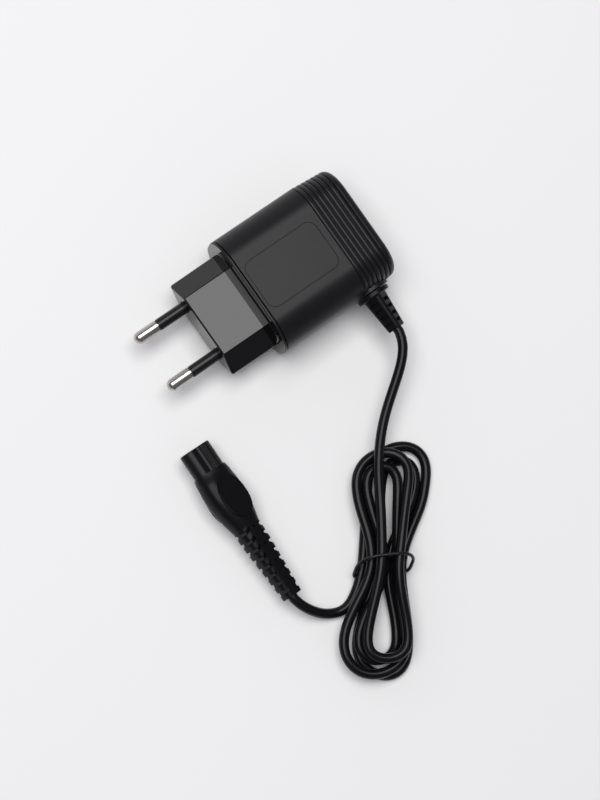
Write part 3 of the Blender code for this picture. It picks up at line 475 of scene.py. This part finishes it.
def loft(name, stations, axis, centre=(0.0, 0.0)):
    """Stations are (place along the axis, outline) pairs; both ends are capped."""
    shape = bmesh.new()
    rings = []
    for place, outline in stations:
        spots = [(first + centre[0], second + centre[1]) for first, second in outline]
        rings.append([shape.verts.new((across, place, up) if axis == "Y" else (place, across, up))
                      for across, up in spots])
    capped(shape, rings)
    return mesh_from(name, shape)


def prisms(name, plans, low, high):
    """Closed prisms over plans of (x, y) points, all between two levels."""
    shape = bmesh.new()
    for plan in plans:
        capped(shape, [[shape.verts.new((x, y, level)) for x, y in plan] for level in (low, high)])
    return mesh_from(name, shape)


def closed_band(name, outlines):
    """A closed ring of material; the outlines run along its edges, in their order round its section."""
    shape = bmesh.new()
    rings = [[shape.verts.new(spot) for spot in outline] for outline in outlines]
    for first, second in zip(rings, rings[1:] + rings[:1]):
        bridge(shape, first, second)
    return mesh_from(name, shape)


def quarter_round(steps):
    """How far in from the end and from the side the points of a rounded edge of radius 1 lie."""
    angles = [math.radians(90 / steps * step) for step in range(steps + 1)]
    return [(1 - math.sin(angle), 1 - math.cos(angle)) for angle in angles]


def turned(name, profile, origin, direction, steps=64, closed=False):
    """Profile points are (radius, height) down the outer side, turned about the direction."""
    shape = bmesh.new()
    rings = []
    for radius, height in profile:
        if radius < axis_radius:
            rings.append([shape.verts.new((0, 0, height))])
            continue
        ring = []
        for step in range(steps):
            angle = math.tau * step / steps
            ring.append(shape.verts.new((radius * math.cos(angle), radius * math.sin(angle), height)))
        rings.append(ring)
    pairs = list(zip(rings, rings[1:]))
    if closed:
        pairs.append((rings[-1], rings[0]))
    for upper, lower in pairs:
        for step in range(steps):
            after = (step + 1) % steps
            corners = [upper[step % len(upper)], upper[after % len(upper)],
                       lower[after % len(lower)], lower[step % len(lower)]]
            corners = list(dict.fromkeys(corners))
            if len(corners) > 2:
                shape.faces.new(corners)
    mesh = mesh_from(name, shape)
    swing = Vector(direction).to_track_quat("Z", "Y").to_matrix().to_4x4()
    return moved(mesh, Matrix.Translation(origin) @ swing)


def rod(name, radius, start, end):
    start, end = Vector(start), Vector(end)
    length = (end - start).length
    return turned(name, [(0, length), (radius, length), (radius, 0), (0, 0)], start, end - start, 48)


def shaped(name, base, steps):
    """The base mesh after each (operation, mesh) step, as one new mesh."""
    item = bpy.data.objects.new(name, base)
    helpers = [item]
    bpy.context.scene.collection.objects.link(item)
    for operation, tool in steps:
        helper = bpy.data.objects.new("tool", tool)
        bpy.context.scene.collection.objects.link(helper)
        helpers.append(helper)
        step = item.modifiers.new("step", "BOOLEAN")
        step.operation = operation
        step.object = helper
        step.solver = "EXACT"
    depsgraph = bpy.context.evaluated_depsgraph_get()
    mesh = bpy.data.meshes.new_from_object(item.evaluated_get(depsgraph))
    for helper in helpers:
        bpy.data.objects.remove(helper, do_unlink=True)
    mesh.name = name
    return smooth_shaded(mesh)


def rounded_polygon(corners, radius, steps):
    """Corners run anticlockwise; each one becomes an arc of the given radius."""
    outline = []
    for index, corner in enumerate(corners):
        here = Vector(corner)
        back = (Vector(corners[index - 1]) - here).normalized()
        ahead = (Vector(corners[(index + 1) % len(corners)]) - here).normalized()
        half = back.angle(ahead) / 2
        centre = here + (back + ahead).normalized() * radius / math.sin(half)
        first = here + back * radius / math.tan(half) - centre
        sweep = math.pi - 2 * half
        for step in range(steps + 1):
            turned_by = Matrix.Rotation(sweep * step / steps, 2)
            point = centre + turned_by @ first
            outline.append((point.x, point.y))
    return outline


def rounded_box(width, height, radius, steps):
    half_w, half_h = width / 2, height / 2
    corners = [(half_w, -half_h), (half_w, half_h), (-half_w, half_h), (-half_w, -half_h)]
    radius = min(radius, half_w * largest_round, half_h * largest_round)
    return rounded_polygon(corners, radius, steps)


def swung(outline, angle):
    swing = Matrix.Rotation(angle, 2)
    return [tuple(swing @ Vector(point)) for point in outline]


def superellipse(width, height, power):
    outline = []
    for step in range(ring_points):
        angle = math.tau * step / ring_points
        across, up = math.cos(angle), math.sin(angle)
        outline.append((width / 2 * math.copysign(abs(across) ** (2 / power), across),
                        height / 2 * math.copysign(abs(up) ** (2 / power), up)))
    return outline


def smooth_route(points, spacing):
    """Even points on a centripetal Catmull-Rom curve through the given ones."""
    route = [2 * points[0] - points[1]] + points + [2 * points[-1] - points[-2]]
    fine = []
    for index in range(1, len(route) - 2):
        p0, p1, p2, p3 = route[index - 1:index + 3]
        k1 = (p1 - p0).length ** 0.5
        k2 = k1 + (p2 - p1).length ** 0.5
        k3 = k2 + (p3 - p2).length ** 0.5
        for step in range(route_steps):
            k = k1 + (k2 - k1) * step / route_steps
            a1 = p0 * ((k1 - k) / k1) + p1 * (k / k1)
            a2 = p1 * ((k2 - k) / (k2 - k1)) + p2 * ((k - k1) / (k2 - k1))
            a3 = p2 * ((k3 - k) / (k3 - k2)) + p3 * ((k - k2) / (k3 - k2))
            b1 = a1 * ((k2 - k) / k2) + a2 * (k / k2)
            b2 = a2 * ((k3 - k) / (k3 - k1)) + a3 * ((k - k1) / (k3 - k1))
            fine.append(b1 * ((k2 - k) / (k2 - k1)) + b2 * ((k - k1) / (k2 - k1)))
    fine.append(points[-1])
    reach = [0.0]
    for before, after in zip(fine, fine[1:]):
        reach.append(reach[-1] + (after - before).length)
    count = max(2, round(reach[-1] / spacing))
    even = []
    index = 0
    for step in range(count + 1):
        goal = reach[-1] * step / count
        while index < len(fine) - 2 and reach[index + 1] < goal:
            index += 1
        share = (goal - reach[index]) / (reach[index + 1] - reach[index])
        even.append(fine[index].lerp(fine[index + 1], share))
    return even


def relaxed(points, passes):
    """Eases the sharpest bends of a route; its ends stay where they are."""
    for _ in range(passes):
        points = points[:2] + [before.lerp(after, 0.5).lerp(here, 0.5) for before, here, after in
                               zip(points[1:], points[2:-2], points[3:])] + points[-2:]
    return points


def parted(points, gap, skip, passes):
    """Moves strands of a route that would cut into one another apart, half of the way each."""
    for _ in range(passes):
        tree = KDTree(len(points))
        for index, point in enumerate(points):
            tree.insert(point, index)
        tree.balance()
        moves = []
        for index, point in enumerate(points):
            near = [(distance, other, spot) for spot, other, distance in tree.find_range(point, gap)
                    if abs(other - index) > skip]
            distance, _, spot = min(near) if near else (gap, 0, point)
            moves.append((point - spot) * ((gap - distance) / distance / 2))
        moves[:2], moves[-2:] = [Vector()] * 2, [Vector()] * 2
        points = [point + move for point, move in zip(points, relaxed(moves, 2))]
    return points


def tube_data(name, points, diameter, roundness, cyclic=False):
    curve = bpy.data.curves.new(name, "CURVE")
    curve.dimensions = "3D"
    curve.bevel_depth = diameter / 2
    curve.bevel_resolution = roundness
    curve.use_fill_caps = True
    line = curve.splines.new("POLY")
    line.points.add(len(points) - 1)
    for spot, point in zip(line.points, points):
        spot.co = (*point, 1.0)
    line.use_cyclic_u = cyclic
    line.use_smooth = True
    return curve


def between(first, last, share):
    return first + (last - first) * share


def ease(share):
    """From 0 to 1 without a corner at either end."""
    share = min(1.0, max(0.0, share))
    return share * share * (3 - 2 * share)


# ----- cord, hank and tie
# Places in the hank are counted in turns from the connector's end. Each turn passes the waist twice.
run_share = 0.12
first_turn = -0.04
spiral_in_ends = 1.76
spiral_out_starts = 2.13
spiral_out_ends = 3.50
climb_to_second = (1.53, 1.76)
climb_to_top = (3.19, 3.41)
move_inward = (3.31, 3.52)
least_fold = 5.6 * MM
waist_lift = tie_diameter + 2 * fit


def ramp(turn, span):
    return ease((turn - span[0]) / (span[1] - span[0]))


def by_layer(values, layer):
    """A value between those of the layers below and above."""
    lower = min(int(layer), len(values) - 2)
    return between(values[lower], values[lower + 1], layer - lower)


def hank_state(turn):
    """How far the cord lies inside the outermost turn, and in which layer."""
    inner = hank_pitch * spiral_in_ends
    outer = hank_pitch * (spiral_out_ends - spiral_out_starts)
    if turn < spiral_in_ends:
        inset = hank_pitch * turn
    elif turn < spiral_out_starts:
        inset = between(inner, outer, ramp(turn, (spiral_in_ends, spiral_out_starts)))
    else:
        inset = hank_pitch * (spiral_out_ends - turn)
    inset = between(inset, hank_top_inset, ramp(turn, move_inward))
    return inset, ramp(turn, climb_to_second) + ramp(turn, climb_to_top)


def hank_spot(turn):
    """Place across the hank, along it and above the surface."""
    inset, layer = hank_state(turn)
    phase = turn % 1.0
    upper = phase < 0.5
    end = 1 if upper else -1
    within = phase if upper else phase - 0.5
    side = -end if within < 0.25 else end
    from_waist = min(within, 0.5 - within) / run_share
    lengths, radii, shifts, leans = hank_upper if upper else hank_lower
    radius, length = by_layer(radii, layer), by_layer(lengths, layer)
    shift, lean = by_layer(shifts, layer), by_layer(leans, layer)
    narrow = hank_waist - inset
    wide = max(radius - inset, least_fold)
    if from_waist < 1:
        opened = ease(from_waist)
        across = side * between(narrow, wide, opened) + shift * opened
        along = end * hank_lobe_centre * from_waist
    else:
        opened = 1.0
        share = (within - run_share) / (0.5 - 2 * run_share)
        reach = length - hank_lobe_centre - inset
        curl = min(wide, reach)
        run = reach - curl
        angle = min(math.pi, max(0.0, (share * (2 * run + math.pi * curl) - run) / curl))
        lean *= (1 - inset / radius) * math.sin(math.pi * share) ** 2
        across = shift - end * wide * math.cos(angle) + lean
        along = end * (hank_lobe_centre + min(run, (run + math.pi * curl / 2) * 2 * min(share, 1 - share))
                       + curl * math.sin(angle))
    level = cord_diameter / 2 + waist_lift * (1 - opened) + layer * hank_layer
    return across, along, level


def hank_to_world(across, along, level):
    heading = math.radians(hank_angle)
    ahead = Vector((math.cos(heading), math.sin(heading), 0))
    right = Vector((ahead.y, -ahead.x, 0))
    spot = Vector((hank_place[0], hank_place[1], level))
    return spot + ahead * along + right * across


lead_points = (
    (42.6, 27.6, 12.2), (46.6, 23.2, 11.6), (50.0, 18.6, 11.0), (53.4, 14.0, 10.5), (56.6, 10.1, 10.1),
    (60.0, 6.6, 9.8), (63.8, 3.2, 9.5), (69.2, -0.9, 9.4), (77.6, -6.3, 9.7), (84.4, -10.9, 10.1),
)
tail_points = (
    (91.4, -43.7, 5.4), (94.2, -41.8, 3.6), (96.4, -39.4, 2.3), (97.8, -36.7, 1.7), (98.9, -33.6, 1.7),
)


def connector_frame():
    place = Matrix.Translation((connector_tip[0], connector_tip[1], connector_height))
    swing = Matrix.Rotation(math.radians(connector_angle), 4, "Z")
    roll = Matrix.Rotation(math.radians(connector_roll), 4, "X")
    return place @ swing @ roll


def make_cord(*far_pieces):
    start = Vector((relief_end_x - fit, relief_y, middle_z))
    end = connector_frame() @ Vector((back_end - fit, 0, 0))
    leaving = connector_frame().to_3x3() @ Vector((1, 0, 0))
    route = [start, start + Vector((cord_diameter, 0, 0))]
    route += [Vector(point) * MM for point in lead_points]
    wound = hank_turns - first_turn
    steps = round(wound * hank_turn_steps)
    for step in range(steps + 1):
        route.append(hank_to_world(*hank_spot(hank_turns - wound * step / steps)))
    route += [Vector(point) * MM for point in reversed(tail_points)]
    route += [end + leaving * cord_diameter, end]
    route = relaxed(smooth_route(route, cord_step), cord_ease_passes)
    route = parted(route, cord_diameter + strand_gap, strand_skip, strand_passes)
    cord = add_piece("cord", tube_data("cord", route, cord_diameter, 5), "cord_sheath",
                     "cord_lead", "cord_hank", "cord_tail")


def make_tie():
    """A leaning loop of coated wire round all the strands at the waist, rounder above than below."""
    samples = range(int((hank_turns - first_turn) * tie_samples))
    near = [hank_spot(first_turn + step / tie_samples) for step in samples]
    near = [spot for spot in near if abs(spot[1]) < tie_reach]
    margin = cord_diameter / 2 + tie_diameter / 2 + tie_clearance
    left = min(spot[0] for spot in near) - margin
    right = max(spot[0] for spot in near) + margin
    low = tie_diameter / 2 + fit / 2
    high = max(spot[2] for spot in near) + margin
    below = rounded_box(right - left, high - low, tie_corner, tie_steps)
    above = rounded_box(right - left, high - low, tie_shoulder, tie_steps)
    first, last = tie_steps + 1, 3 * (tie_steps + 1)
    outline = below[:first] + above[first:last] + below[last:]
    slant, lean = math.tan(math.radians(tie_slant)), math.tan(math.radians(tie_lean))
    points = []
    for across, up in outline:
        along = slant * across + lean * up - tie_setback
        points.append(hank_to_world((left + right) / 2 + across, along, (low + high) / 2 + up))
    add_piece("tie_wire", tube_data("tie_wire", points, tie_diameter, 4, True), "tie_wire",
              "hank_tie")


# ----- adaptor housing
def body_outline(inset):
    return rounded_box(body_width - 2 * inset, body_height - 2 * inset, body_corner - inset,
                       body_corner_steps)


def rib_drop_at(share):
    """Depth below a rib's crest, as a share of the groove: a narrow groove and then a full, round crest."""
    groove = math.exp(-(share / rib_groove_share) ** 2)
    crown = rib_crown * abs((share - rib_crest_share) / (1 - rib_crest_share)) ** rib_crown_power
    return min(1.0, groove + crown)


def make_rear_shell():
    inner_back = rear_y - body_wall
    stations = [
        (inner_back, body_outline(shell_inset + rear_round / 2)),
        (inner_back - rear_round / 2, body_outline(shell_inset)),
        (ribs_y, body_outline(shell_inset)),
        (ribs_y - body_wall, body_outline(body_wall)),
        (seam_y, body_outline(body_wall)),
        (seam_y, body_outline(body_edge)),
        (seam_y + body_edge, body_outline(0)),
    ]
    for rib in range(rib_count):
        start = ribs_y + rib * rib_pitch
        crest = rib * rib_taper
        if rib == 0:
            stations += [(start - rib_lead, body_outline(0)), (start, body_outline(rib_lead_drop))]
        for share in rib_shares:
            drop = crest + rib_drop_at(share) * rib_depth
            stations.append((start + share * rib_pitch, body_outline(drop)))
    for share, depth in rib_end_shares:
        place = rear_y - rear_land + share * rib_pitch
        stations.append((place, body_outline(rib_drop + depth * rib_depth)))
    for back, drop in quarter_round(12):
        stations.append((rear_y - rear_round * back, body_outline(rib_drop + rear_round * drop)))
    shell = loft("rear_shell", stations, "Y", (0, middle_z))

    land_place = (inner_x + body_wall / 4, relief_y, middle_z)
    land = turned("relief_land", land_profile(), land_place, (1, 0, 0), 72)
    bore = rod("relief_bore", relief_neck_diameter / 2 + fit, (inner_x - body_wall, relief_y, middle_z),
               (land_x + body_wall, relief_y, middle_z))
    board_low, board_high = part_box("circuit_board")
    rails = []
    for side in (-1, 1):
        middle = side * rail_share * board_high[0]
        near, far = middle - rail_width / 2, middle + rail_width / 2
        rails.append([(near, board_low[1]), (far, board_low[1]), (far, board_high[1]),
                      (near, board_high[1])])
    rails = prisms("board_rails", rails, body_wall / 2, board_low[2] - fit)
    steps = [(ADD, land), (ADD, rails), (CUT, bore), (CUT, panel_groove())]
    add_piece("rear_shell", shaped("rear_shell", shell, steps), "housing_plastic", "rear_housing")


def land_profile():
    """A raised round land for the strain relief, with a soft rim."""
    length = land_x - inner_x - body_wall / 4
    radius, soft = relief_land_diameter / 2, relief_land_edge
    rim = [(radius - soft * back, length - soft * drop) for back, drop in quarter_round(3)]
    return [(0, length)] + rim + [(radius, 0), (0, 0)]


def panel_groove():
    """A low ring with a V-shaped foot, which engraves the outline of the panel on the top face."""
    panel_y = front_y + panel_setback
    foot = panel_line / 3
    rings = []
    for offset, level in ((panel_line, panel_depth), (-panel_line, panel_depth), (-foot, -panel_depth),
                          (foot, -panel_depth)):
        outline = rounded_box(panel_length + offset, panel_width + offset, panel_corner + offset / 2,
                              panel_corner_steps)
        rings.append([(across, panel_y + along, body_height + level) for along, across in outline])
    return closed_band("panel_groove", rings)


# ----- plug block and front plate
def plug_outline(inset):
    """A flat hexagon with rounded corners."""
    width = plug_width - 2 * math.sqrt(2) * inset
    height = plug_height - 2 * inset
    flat = (width - height) / 2
    half_w, half_h = width / 2, height / 2
    corners = [(half_w, 0), (flat, half_h), (-flat, half_h), (-half_w, 0), (-flat, -half_h),
               (flat, -half_h)]
    return rounded_polygon(corners, max(plug_corner - inset, plug_least_corner), plug_corner_steps)


def make_plug():
    lip_inset = body_wall + fit
    plate_stations = [(front_y - step_rise, body_outline(step_inset))]
    for share in step_shares:
        outline = body_outline(step_inset - step_rise * share / 2)
        plate_stations.append((front_y - step_rise * (1 - share), outline))
    for back, drop in quarter_round(6):
        plate_stations.append((front_y + rim_edge * drop, body_outline(rim_edge * back)))
    plate_stations += [
        (front_y + rim_thickness - body_edge, body_outline(0)),
        (front_y + rim_thickness, body_outline(body_edge)),
        (front_y + rim_thickness, body_outline(lip_inset)),
        (seam_y + lip_length, body_outline(lip_inset)),
    ]
    plate = loft("front_plate", plate_stations, "Y", (0, middle_z))

    block_stations = [(face_y + plug_edge * back, plug_outline(plug_draft + plug_edge * drop))
                      for back, drop in reversed(quarter_round(8))]
    block_stations.append((front_y + plate_web / 2, plug_outline(0)))
    block = loft("plug_block", block_stations, "Y", (0, pin_z))
    hollow = loft("plug_hollow", [(face_y + plug_face_wall, plug_outline(plug_wall + plug_draft)),
                                  (front_y + plate_web * 1.5, plug_outline(plug_wall))], "Y", (0, pin_z))
    lip_hollow = loft("lip_hollow", [(front_y + plate_web, body_outline(lip_inset + lip_wall)),
                                     (seam_y + lip_length * 2, body_outline(lip_inset + lip_wall))],
                      "Y", (0, middle_z))
    steps = [(ADD, block), (CUT, hollow), (CUT, lip_hollow)]
    for side in (-1, 1):
        seat_radius = sleeve_diameter / 2 + fit
        shank_radius = pin_shank_diameter / 2 + fit
        seat = sleeve_seat + fit
        profile = [(0, plug_face_wall), (seat_radius, plug_face_wall), (seat_radius, -seat),
                   (shank_radius, -seat), (shank_radius, -2 * plug_face_wall), (0, -2 * plug_face_wall)]
        place = (side * pin_spacing / 2, face_y, pin_z)
        steps.append((CUT, turned("pin_bore", profile, place, (0, -1, 0), 48)))
    data = shaped("plug_moulding", plate, steps)
    add_piece("plug_moulding", data, "plug_plastic", "plug_housing")
    # The plug and the front of the plate are glossy: the rim and all behind it are matte.
    data.materials.append(finishes["housing_plastic"])
    for face in data.polygons:
        if face.center.y > front_y + gloss_end:
            face.material_index = 1


# ----- pins
def make_pin(prefix, side):
    """A pin and the sleeve round its shank; heights are measured outward from the plug face."""
    place = (side * pin_spacing / 2, face_y, pin_z)
    radius, shank, collar = pin_diameter / 2, pin_shank_diameter / 2, pin_collar_diameter / 2
    shoulder = pin_length - pin_bare_length
    collar_front = -plug_face_wall - fit
    collar_back = collar_front - pin_collar_length
    back_end = collar_back - pin_tail_length
    profile = []
    for step in range(19):
        angle = math.radians(5 * step)
        profile.append((radius * math.sin(angle), pin_length - radius * (1 - math.cos(angle))))
    profile += [(radius, shoulder + pin_edge), (radius - pin_edge, shoulder), (shank, shoulder),
                (shank, collar_front), (collar, collar_front), (collar, collar_back),
                (shank, collar_back), (shank, back_end), (0, back_end)]
    name = f"{prefix}_pin_turned"
    add_piece(name, turned(name, profile, place, (0, -1, 0)), "pin_metal", f"{prefix}_pin")

    outer, inner = sleeve_diameter / 2, shank + fit
    top, bottom = shoulder - fit, -sleeve_seat
    sleeve = [(outer - pin_edge * back, top - pin_edge * drop) for back, drop in quarter_round(4)]
    sleeve += [(outer, bottom), (inner, bottom), (inner, top)]
    name = f"{prefix}_sleeve_moulded"
    add_piece(name, turned(name, sleeve, place, (0, -1, 0), closed=True), "sleeve_plastic",
              f"{prefix}_pin_sleeve")


# ----- strain relief on the housing
def relief_section(side, corner):
    """A square that stands on its corner."""
    return swung(rounded_box(side, side, corner, 10), math.pi / 4)


def relief_side(x):
    share = (x - (relief_end_x - relief_length)) / relief_length
    return between(relief_root, relief_tip, share)


def make_relief():
    collar, neck, flange = relief_collar_diameter, relief_neck_diameter, relief_flange_diameter
    collar_end = inner_x - fit
    flange_start = land_x + fit
    flange_end = flange_start + relief_flange_length
    soft = relief_flange_length / 4
    stations = [
        (collar_end - relief_collar_length, relief_section(collar, collar / 2)),
        (collar_end, relief_section(collar, collar / 2)),
        (collar_end, relief_section(neck, neck / 2)),
        (flange_start, relief_section(neck, neck / 2)),
        (flange_start, relief_section(flange - soft / 2, flange / 2 - soft / 4)),
        (flange_start + soft / 4, relief_section(flange, flange / 2)),
    ]
    for back, share in quarter_round(6):
        drop = soft * share
        outline = relief_section(flange - 2 * drop, flange / 2 - drop)
        stations.append((flange_end - soft * back, outline))
    for share in relief_foot_shares:
        side = relief_root + share * soft
        stations.append((flange_end + (1 - share) * soft / 2, relief_section(side, relief_root / 4)))
    stations.append((relief_end_x - soft, relief_section(relief_tip, relief_tip / 4)))
    for back, share in quarter_round(5)[1:]:
        outline = relief_section(relief_tip - 2 * (soft * share / 2), relief_tip / 4)
        stations.append((relief_end_x - soft * back, outline))
    relief = loft("relief_moulding", stations, "X", (relief_y, middle_z))
    relief = shaped("relief_moulding", relief, [(CUT, relief_slot_group(flange_end))])
    add_piece("relief_moulding", relief, "relief_rubber", "adaptor_strain_relief", edge=relief_edge)


def relief_slot_group(flange_end):
    """Capsule-shaped recesses in a row along each of the four flat sides."""
    shape = bmesh.new()
    first = flange_end + (relief_length - (relief_slots - 1) * relief_slot_pitch) / 2
    shift = Vector((0, relief_y, middle_z))
    for quarter in range(4):
        turn = Matrix.Rotation(math.pi / 4 + quarter * math.pi / 2, 4, "X")
        for slot in range(relief_slots):
            x = first + slot * relief_slot_pitch
            surface = relief_side(x) / 2
            length = relief_slot_length * relief_side(x) / relief_root
            outline = rounded_box(length, relief_slot_width, relief_slot_width / 2, 10)
            rings = []
            for level in (surface - relief_slot_depth, surface + relief_slot_depth):
                spots = [turn @ Vector((x + along, across, level)) for across, along in outline]
                rings.append([shape.verts.new(spot + shift) for spot in spots])
            capped(shape, rings)
    return mesh_from("relief_slots", shape)


# ----- connector
def nose_outline(extra=0.0):
    """Two lobes side by side with a valley between them, above and below."""
    outline = []
    for across, up in superellipse(nose_width + 2 * extra, nose_height + 2 * extra, nose_power):
        dip = nose_valley * math.exp(-(across / lobe_gap) ** 2)
        outline.append((across, up * (1 - dip)))
    return outline


def make_nose():
    stations = [(nose_edge * drop, nose_outline(-nose_edge * back)) for back, drop in quarter_round(6)]
    stations += [(place, nose_outline()) for place in (nose_length / 2, nose_length, nose_end)]
    steps = []
    for share, depth in zip(groove_places, groove_depths):
        across = share * nose_width / 2
        near, far = across - groove_width / 2, across + groove_width / 2
        top = nose_height / 2 * (1 - abs(share) ** nose_power) ** (1 / nose_power)
        plan = [(-nose_length, near), (nose_length, near), (nose_length, far), (-nose_length, far)]
        steps.append((CUT, prisms("nose_groove", [plan], top - depth, nose_height)))
    for side in (-1, 1):
        mouth, bore = socket_mouth / 2, socket_bore / 2
        profile = [(0, nose_length), (mouth, nose_length), (mouth, -socket_lip), (bore, -socket_lip),
                   (bore, -2 * nose_end), (0, -2 * nose_end)]
        place = (0, side * socket_spacing / 2, 0)
        steps.append((CUT, turned("socket_bore", profile, place, (-1, 0, 0), 40)))
    nose = moved(shaped("nose_insert", loft("nose_insert", stations, "X"), steps), connector_frame())
    return add_piece("nose_insert", nose, "connector_plastic", "connector_nose", edge=nose_insert_edge)


def grip_outline(x):
    """Section of the overmould at a place behind the tip."""
    share = (x - nose_length) / grip_length
    if share < 1:
        swell = 0.0
        if 0 < share < grip_swell_end:
            swell = math.sin(math.pi * (share / grip_swell_end)) ** grip_swell_power
        width = nose_width + grip_lip + (grip_end_width - nose_width - grip_lip) * ease(share)
        height = nose_height + grip_lip + (grip_end_height - nose_height - grip_lip) * ease(share)
        width += (grip_width - (nose_width + grip_end_width) / 2) * swell
        height += (grip_height - (nose_height + grip_end_height) / 2) * swell
        turn, power = grip_turn * ease(share / grip_turn_share), grip_power
    else:
        back = min(1.0, (x - grip_end) / tail_length)
        width = between(grip_end_width, tail_tip_width, back)
        height = between(grip_end_height, tail_tip_height, back)
        turn, power = grip_turn, grip_power + tail_squareness * ease(4 * back)
    return swung(superellipse(width, height, power), math.radians(turn))


def make_overmould():
    places = [nose_length + grip_length * step / grip_steps for step in range(grip_steps + 1)]
    places += [grip_end + tail_length * step / tail_steps for step in range(1, tail_steps + 1)]
    body = loft("overmould", [(x, grip_outline(x)) for x in places], "X")
    turn = Matrix.Rotation(math.radians(grip_turn), 4, "X")
    pad_x = nose_length + grip_length * 0.5
    pad = superellipse(pad_length, pad_width, pad_power)
    steps = []
    for side in (-1, 1):
        low, high = sorted((side * grip_height / 4, side * (grip_height / 2 + pad_rise)))
        outline = [(pad_x + along, across) for along, across in pad]
        steps.append((ADD, moved(prisms("thumb_pad", [outline], low, high), turn)))
        steps.append((CUT, moved(pad_rim(pad_x, side), turn)))
    pocket = loft("nose_pocket", [(nose_length - nose_root, nose_outline(fit)),
                                  (nose_end + fit, nose_outline(fit))], "X")
    steps.append((CUT, pocket))
    steps += [(CUT, moved(tool, turn)) for tool in tail_cutters()]
    body = moved(shaped("overmould", body, steps), connector_frame())
    return add_piece("overmould", body, "relief_rubber", "connector_overmould", edge=grip_edge)


def pad_rim(pad_x, side):
    """The fine line that runs round inside the edge of a thumb pad."""
    top = side * (grip_height / 2 + pad_rise)
    outer_foot, inner_foot = pad_line * pad_line_foot[0], pad_line * pad_line_foot[1]
    rings = []
    for offset, level in ((0, pad_line_depth), (pad_line, pad_line_depth), (outer_foot, -pad_line_depth),
                          (inner_foot, -pad_line_depth)):
        inset = 2 * (pad_inset + offset)
        outline = superellipse(pad_length - inset, pad_width - inset, pad_power)
        rings.append([(pad_x + along, across, top + side * level) for along, across in outline])
    return closed_band("pad_rim", rings)


def tail_cutters():
    """Side slots between the ribs, the pockets that lead from them to the spine, and its small holes."""
    first = grip_end + (tail_length - (tail_ribs - 0.5) * tail_rib_pitch)
    half = tail_slot_width / 2
    slots, pockets, holes = [], [], []
    for rib in range(tail_ribs):
        slot_x = first + (rib - 0.25) * tail_rib_pitch
        pocket_x = slot_x - tail_pocket_lead * tail_rib_pitch
        edge = tail_half(slot_x, grip_end_width, tail_tip_width)
        inner, outer = edge - tail_slot_depth, edge + tail_slot_depth
        meeting = inner + tail_slot_depth / 4
        for side in (-1, 1):
            slots.append(soft_plan([(slot_x - half, side * inner), (slot_x + half, side * inner),
                                    (slot_x + half, side * outer), (slot_x - half, side * outer)], side))
            if meeting - tail_spine / 2 > tail_slot_width / 3:
                plan = soft_plan([(pocket_x - half, side * tail_spine / 2),
                                  (pocket_x + half, side * tail_spine / 2),
                                  (slot_x + half, side * meeting), (slot_x - half, side * meeting)], side)
                for top in (1, -1):
                    level = top * tail_half(pocket_x, grip_end_height, tail_tip_height)
                    pockets.append(prisms("pocket", [plan], level - tail_pocket_depth,
                                          level + tail_pocket_depth))
        if rib % 2 == 0:
            hole_x = pocket_x + tail_rib_pitch / 8
            turns = [math.tau * step / 16 for step in range(16)]
            holes.append([(hole_x + spine_hole * math.cos(turn), spine_hole * math.sin(turn))
                          for turn in turns])
    return (prisms("tail_slots", slots, -grip_height, grip_height), merged("tail_pockets", pockets),
            prisms("spine_holes", holes, tail_tip_height / 2 - spine_hole_depth, grip_height))


def merged(name, meshes):
    shape = bmesh.new()
    for mesh in meshes:
        shape.from_mesh(mesh)
    return mesh_from(name, shape)


def soft_plan(corners, side):
    """A four-cornered plan with rounded corners, which are smaller where there is less room."""
    if side < 0:
        corners = corners[::-1]
    radius = tail_corner_share * tail_slot_width
    for index, corner in enumerate(corners):
        here = Vector(corner)
        back, ahead = Vector(corners[index - 1]) - here, Vector(corners[(index + 1) % 4]) - here
        room = tail_corner_room * min(back.length, ahead.length)
        radius = min(radius, room * math.tan(back.angle(ahead) / 2))
    return rounded_polygon(corners, radius, 4)


def tail_half(x, root, tip):
    """Half the width or the height of the tail at a place behind the tip of the connector."""
    back = (x - nose_length - grip_length) / tail_length
    return between(root, tip, back) / 2


# ----- studio
def make_studio():
    scene = bpy.context.scene
    scene.view_settings.view_transform = "Standard"
    ground = bpy.data.meshes.new("floor")
    size = table_size / 2
    ground.from_pydata([(-size, -size, 0), (size, -size, 0), (size, size, 0), (-size, size, 0)], [],
                       [(0, 1, 2, 3)])
    floor = bpy.data.objects.new("floor", ground)
    scene.collection.objects.link(floor)
    made, _, _, shader = new_material("floor_paper")
    shader.inputs["Base Color"].default_value = (*table_colour, 1)
    shader.inputs["Roughness"].default_value = table_roughness
    shader.inputs["Specular IOR Level"].default_value = table_specular
    ground.materials.append(made)

    world = bpy.data.worlds.new("studio")
    scene.world = world
    world.use_nodes = True
    background = world.node_tree.nodes["Background"]
    background.inputs["Color"].default_value = (*room_colour, 1)
    background.inputs["Strength"].default_value = room_light
    add_softbox("softbox", softbox_place, (0, 0, 0), softbox_size, softbox_radiance, plain)
    add_softbox("side_panel", panel_lamp_place, panel_lamp_turn, panel_lamp_size, panel_lamp_radiance,
                panel_lamp_colour)


def add_softbox(name, place, turn, size, radiance, colour):
    """A rectangular lamp, level over the table unless it is turned; its power follows from its radiance."""
    lamp = bpy.data.lights.new(name, "AREA")
    lamp.shape = "RECTANGLE"
    lamp.size, lamp.size_y = size
    lamp.color = colour
    lamp.energy = radiance * math.pi * size[0] * size[1]
    item = bpy.data.objects.new(name, lamp)
    item.location = place
    item.rotation_euler = [math.radians(angle) for angle in turn]
    bpy.context.scene.collection.objects.link(item)


make_camera()
finishes = make_materials()
finish_solids()
make_studio()
make_rear_shell()
make_plug()
make_pin("live", -1)
make_pin("neutral", 1)
make_relief()
make_cord(make_overmould(), make_nose())
make_tie()
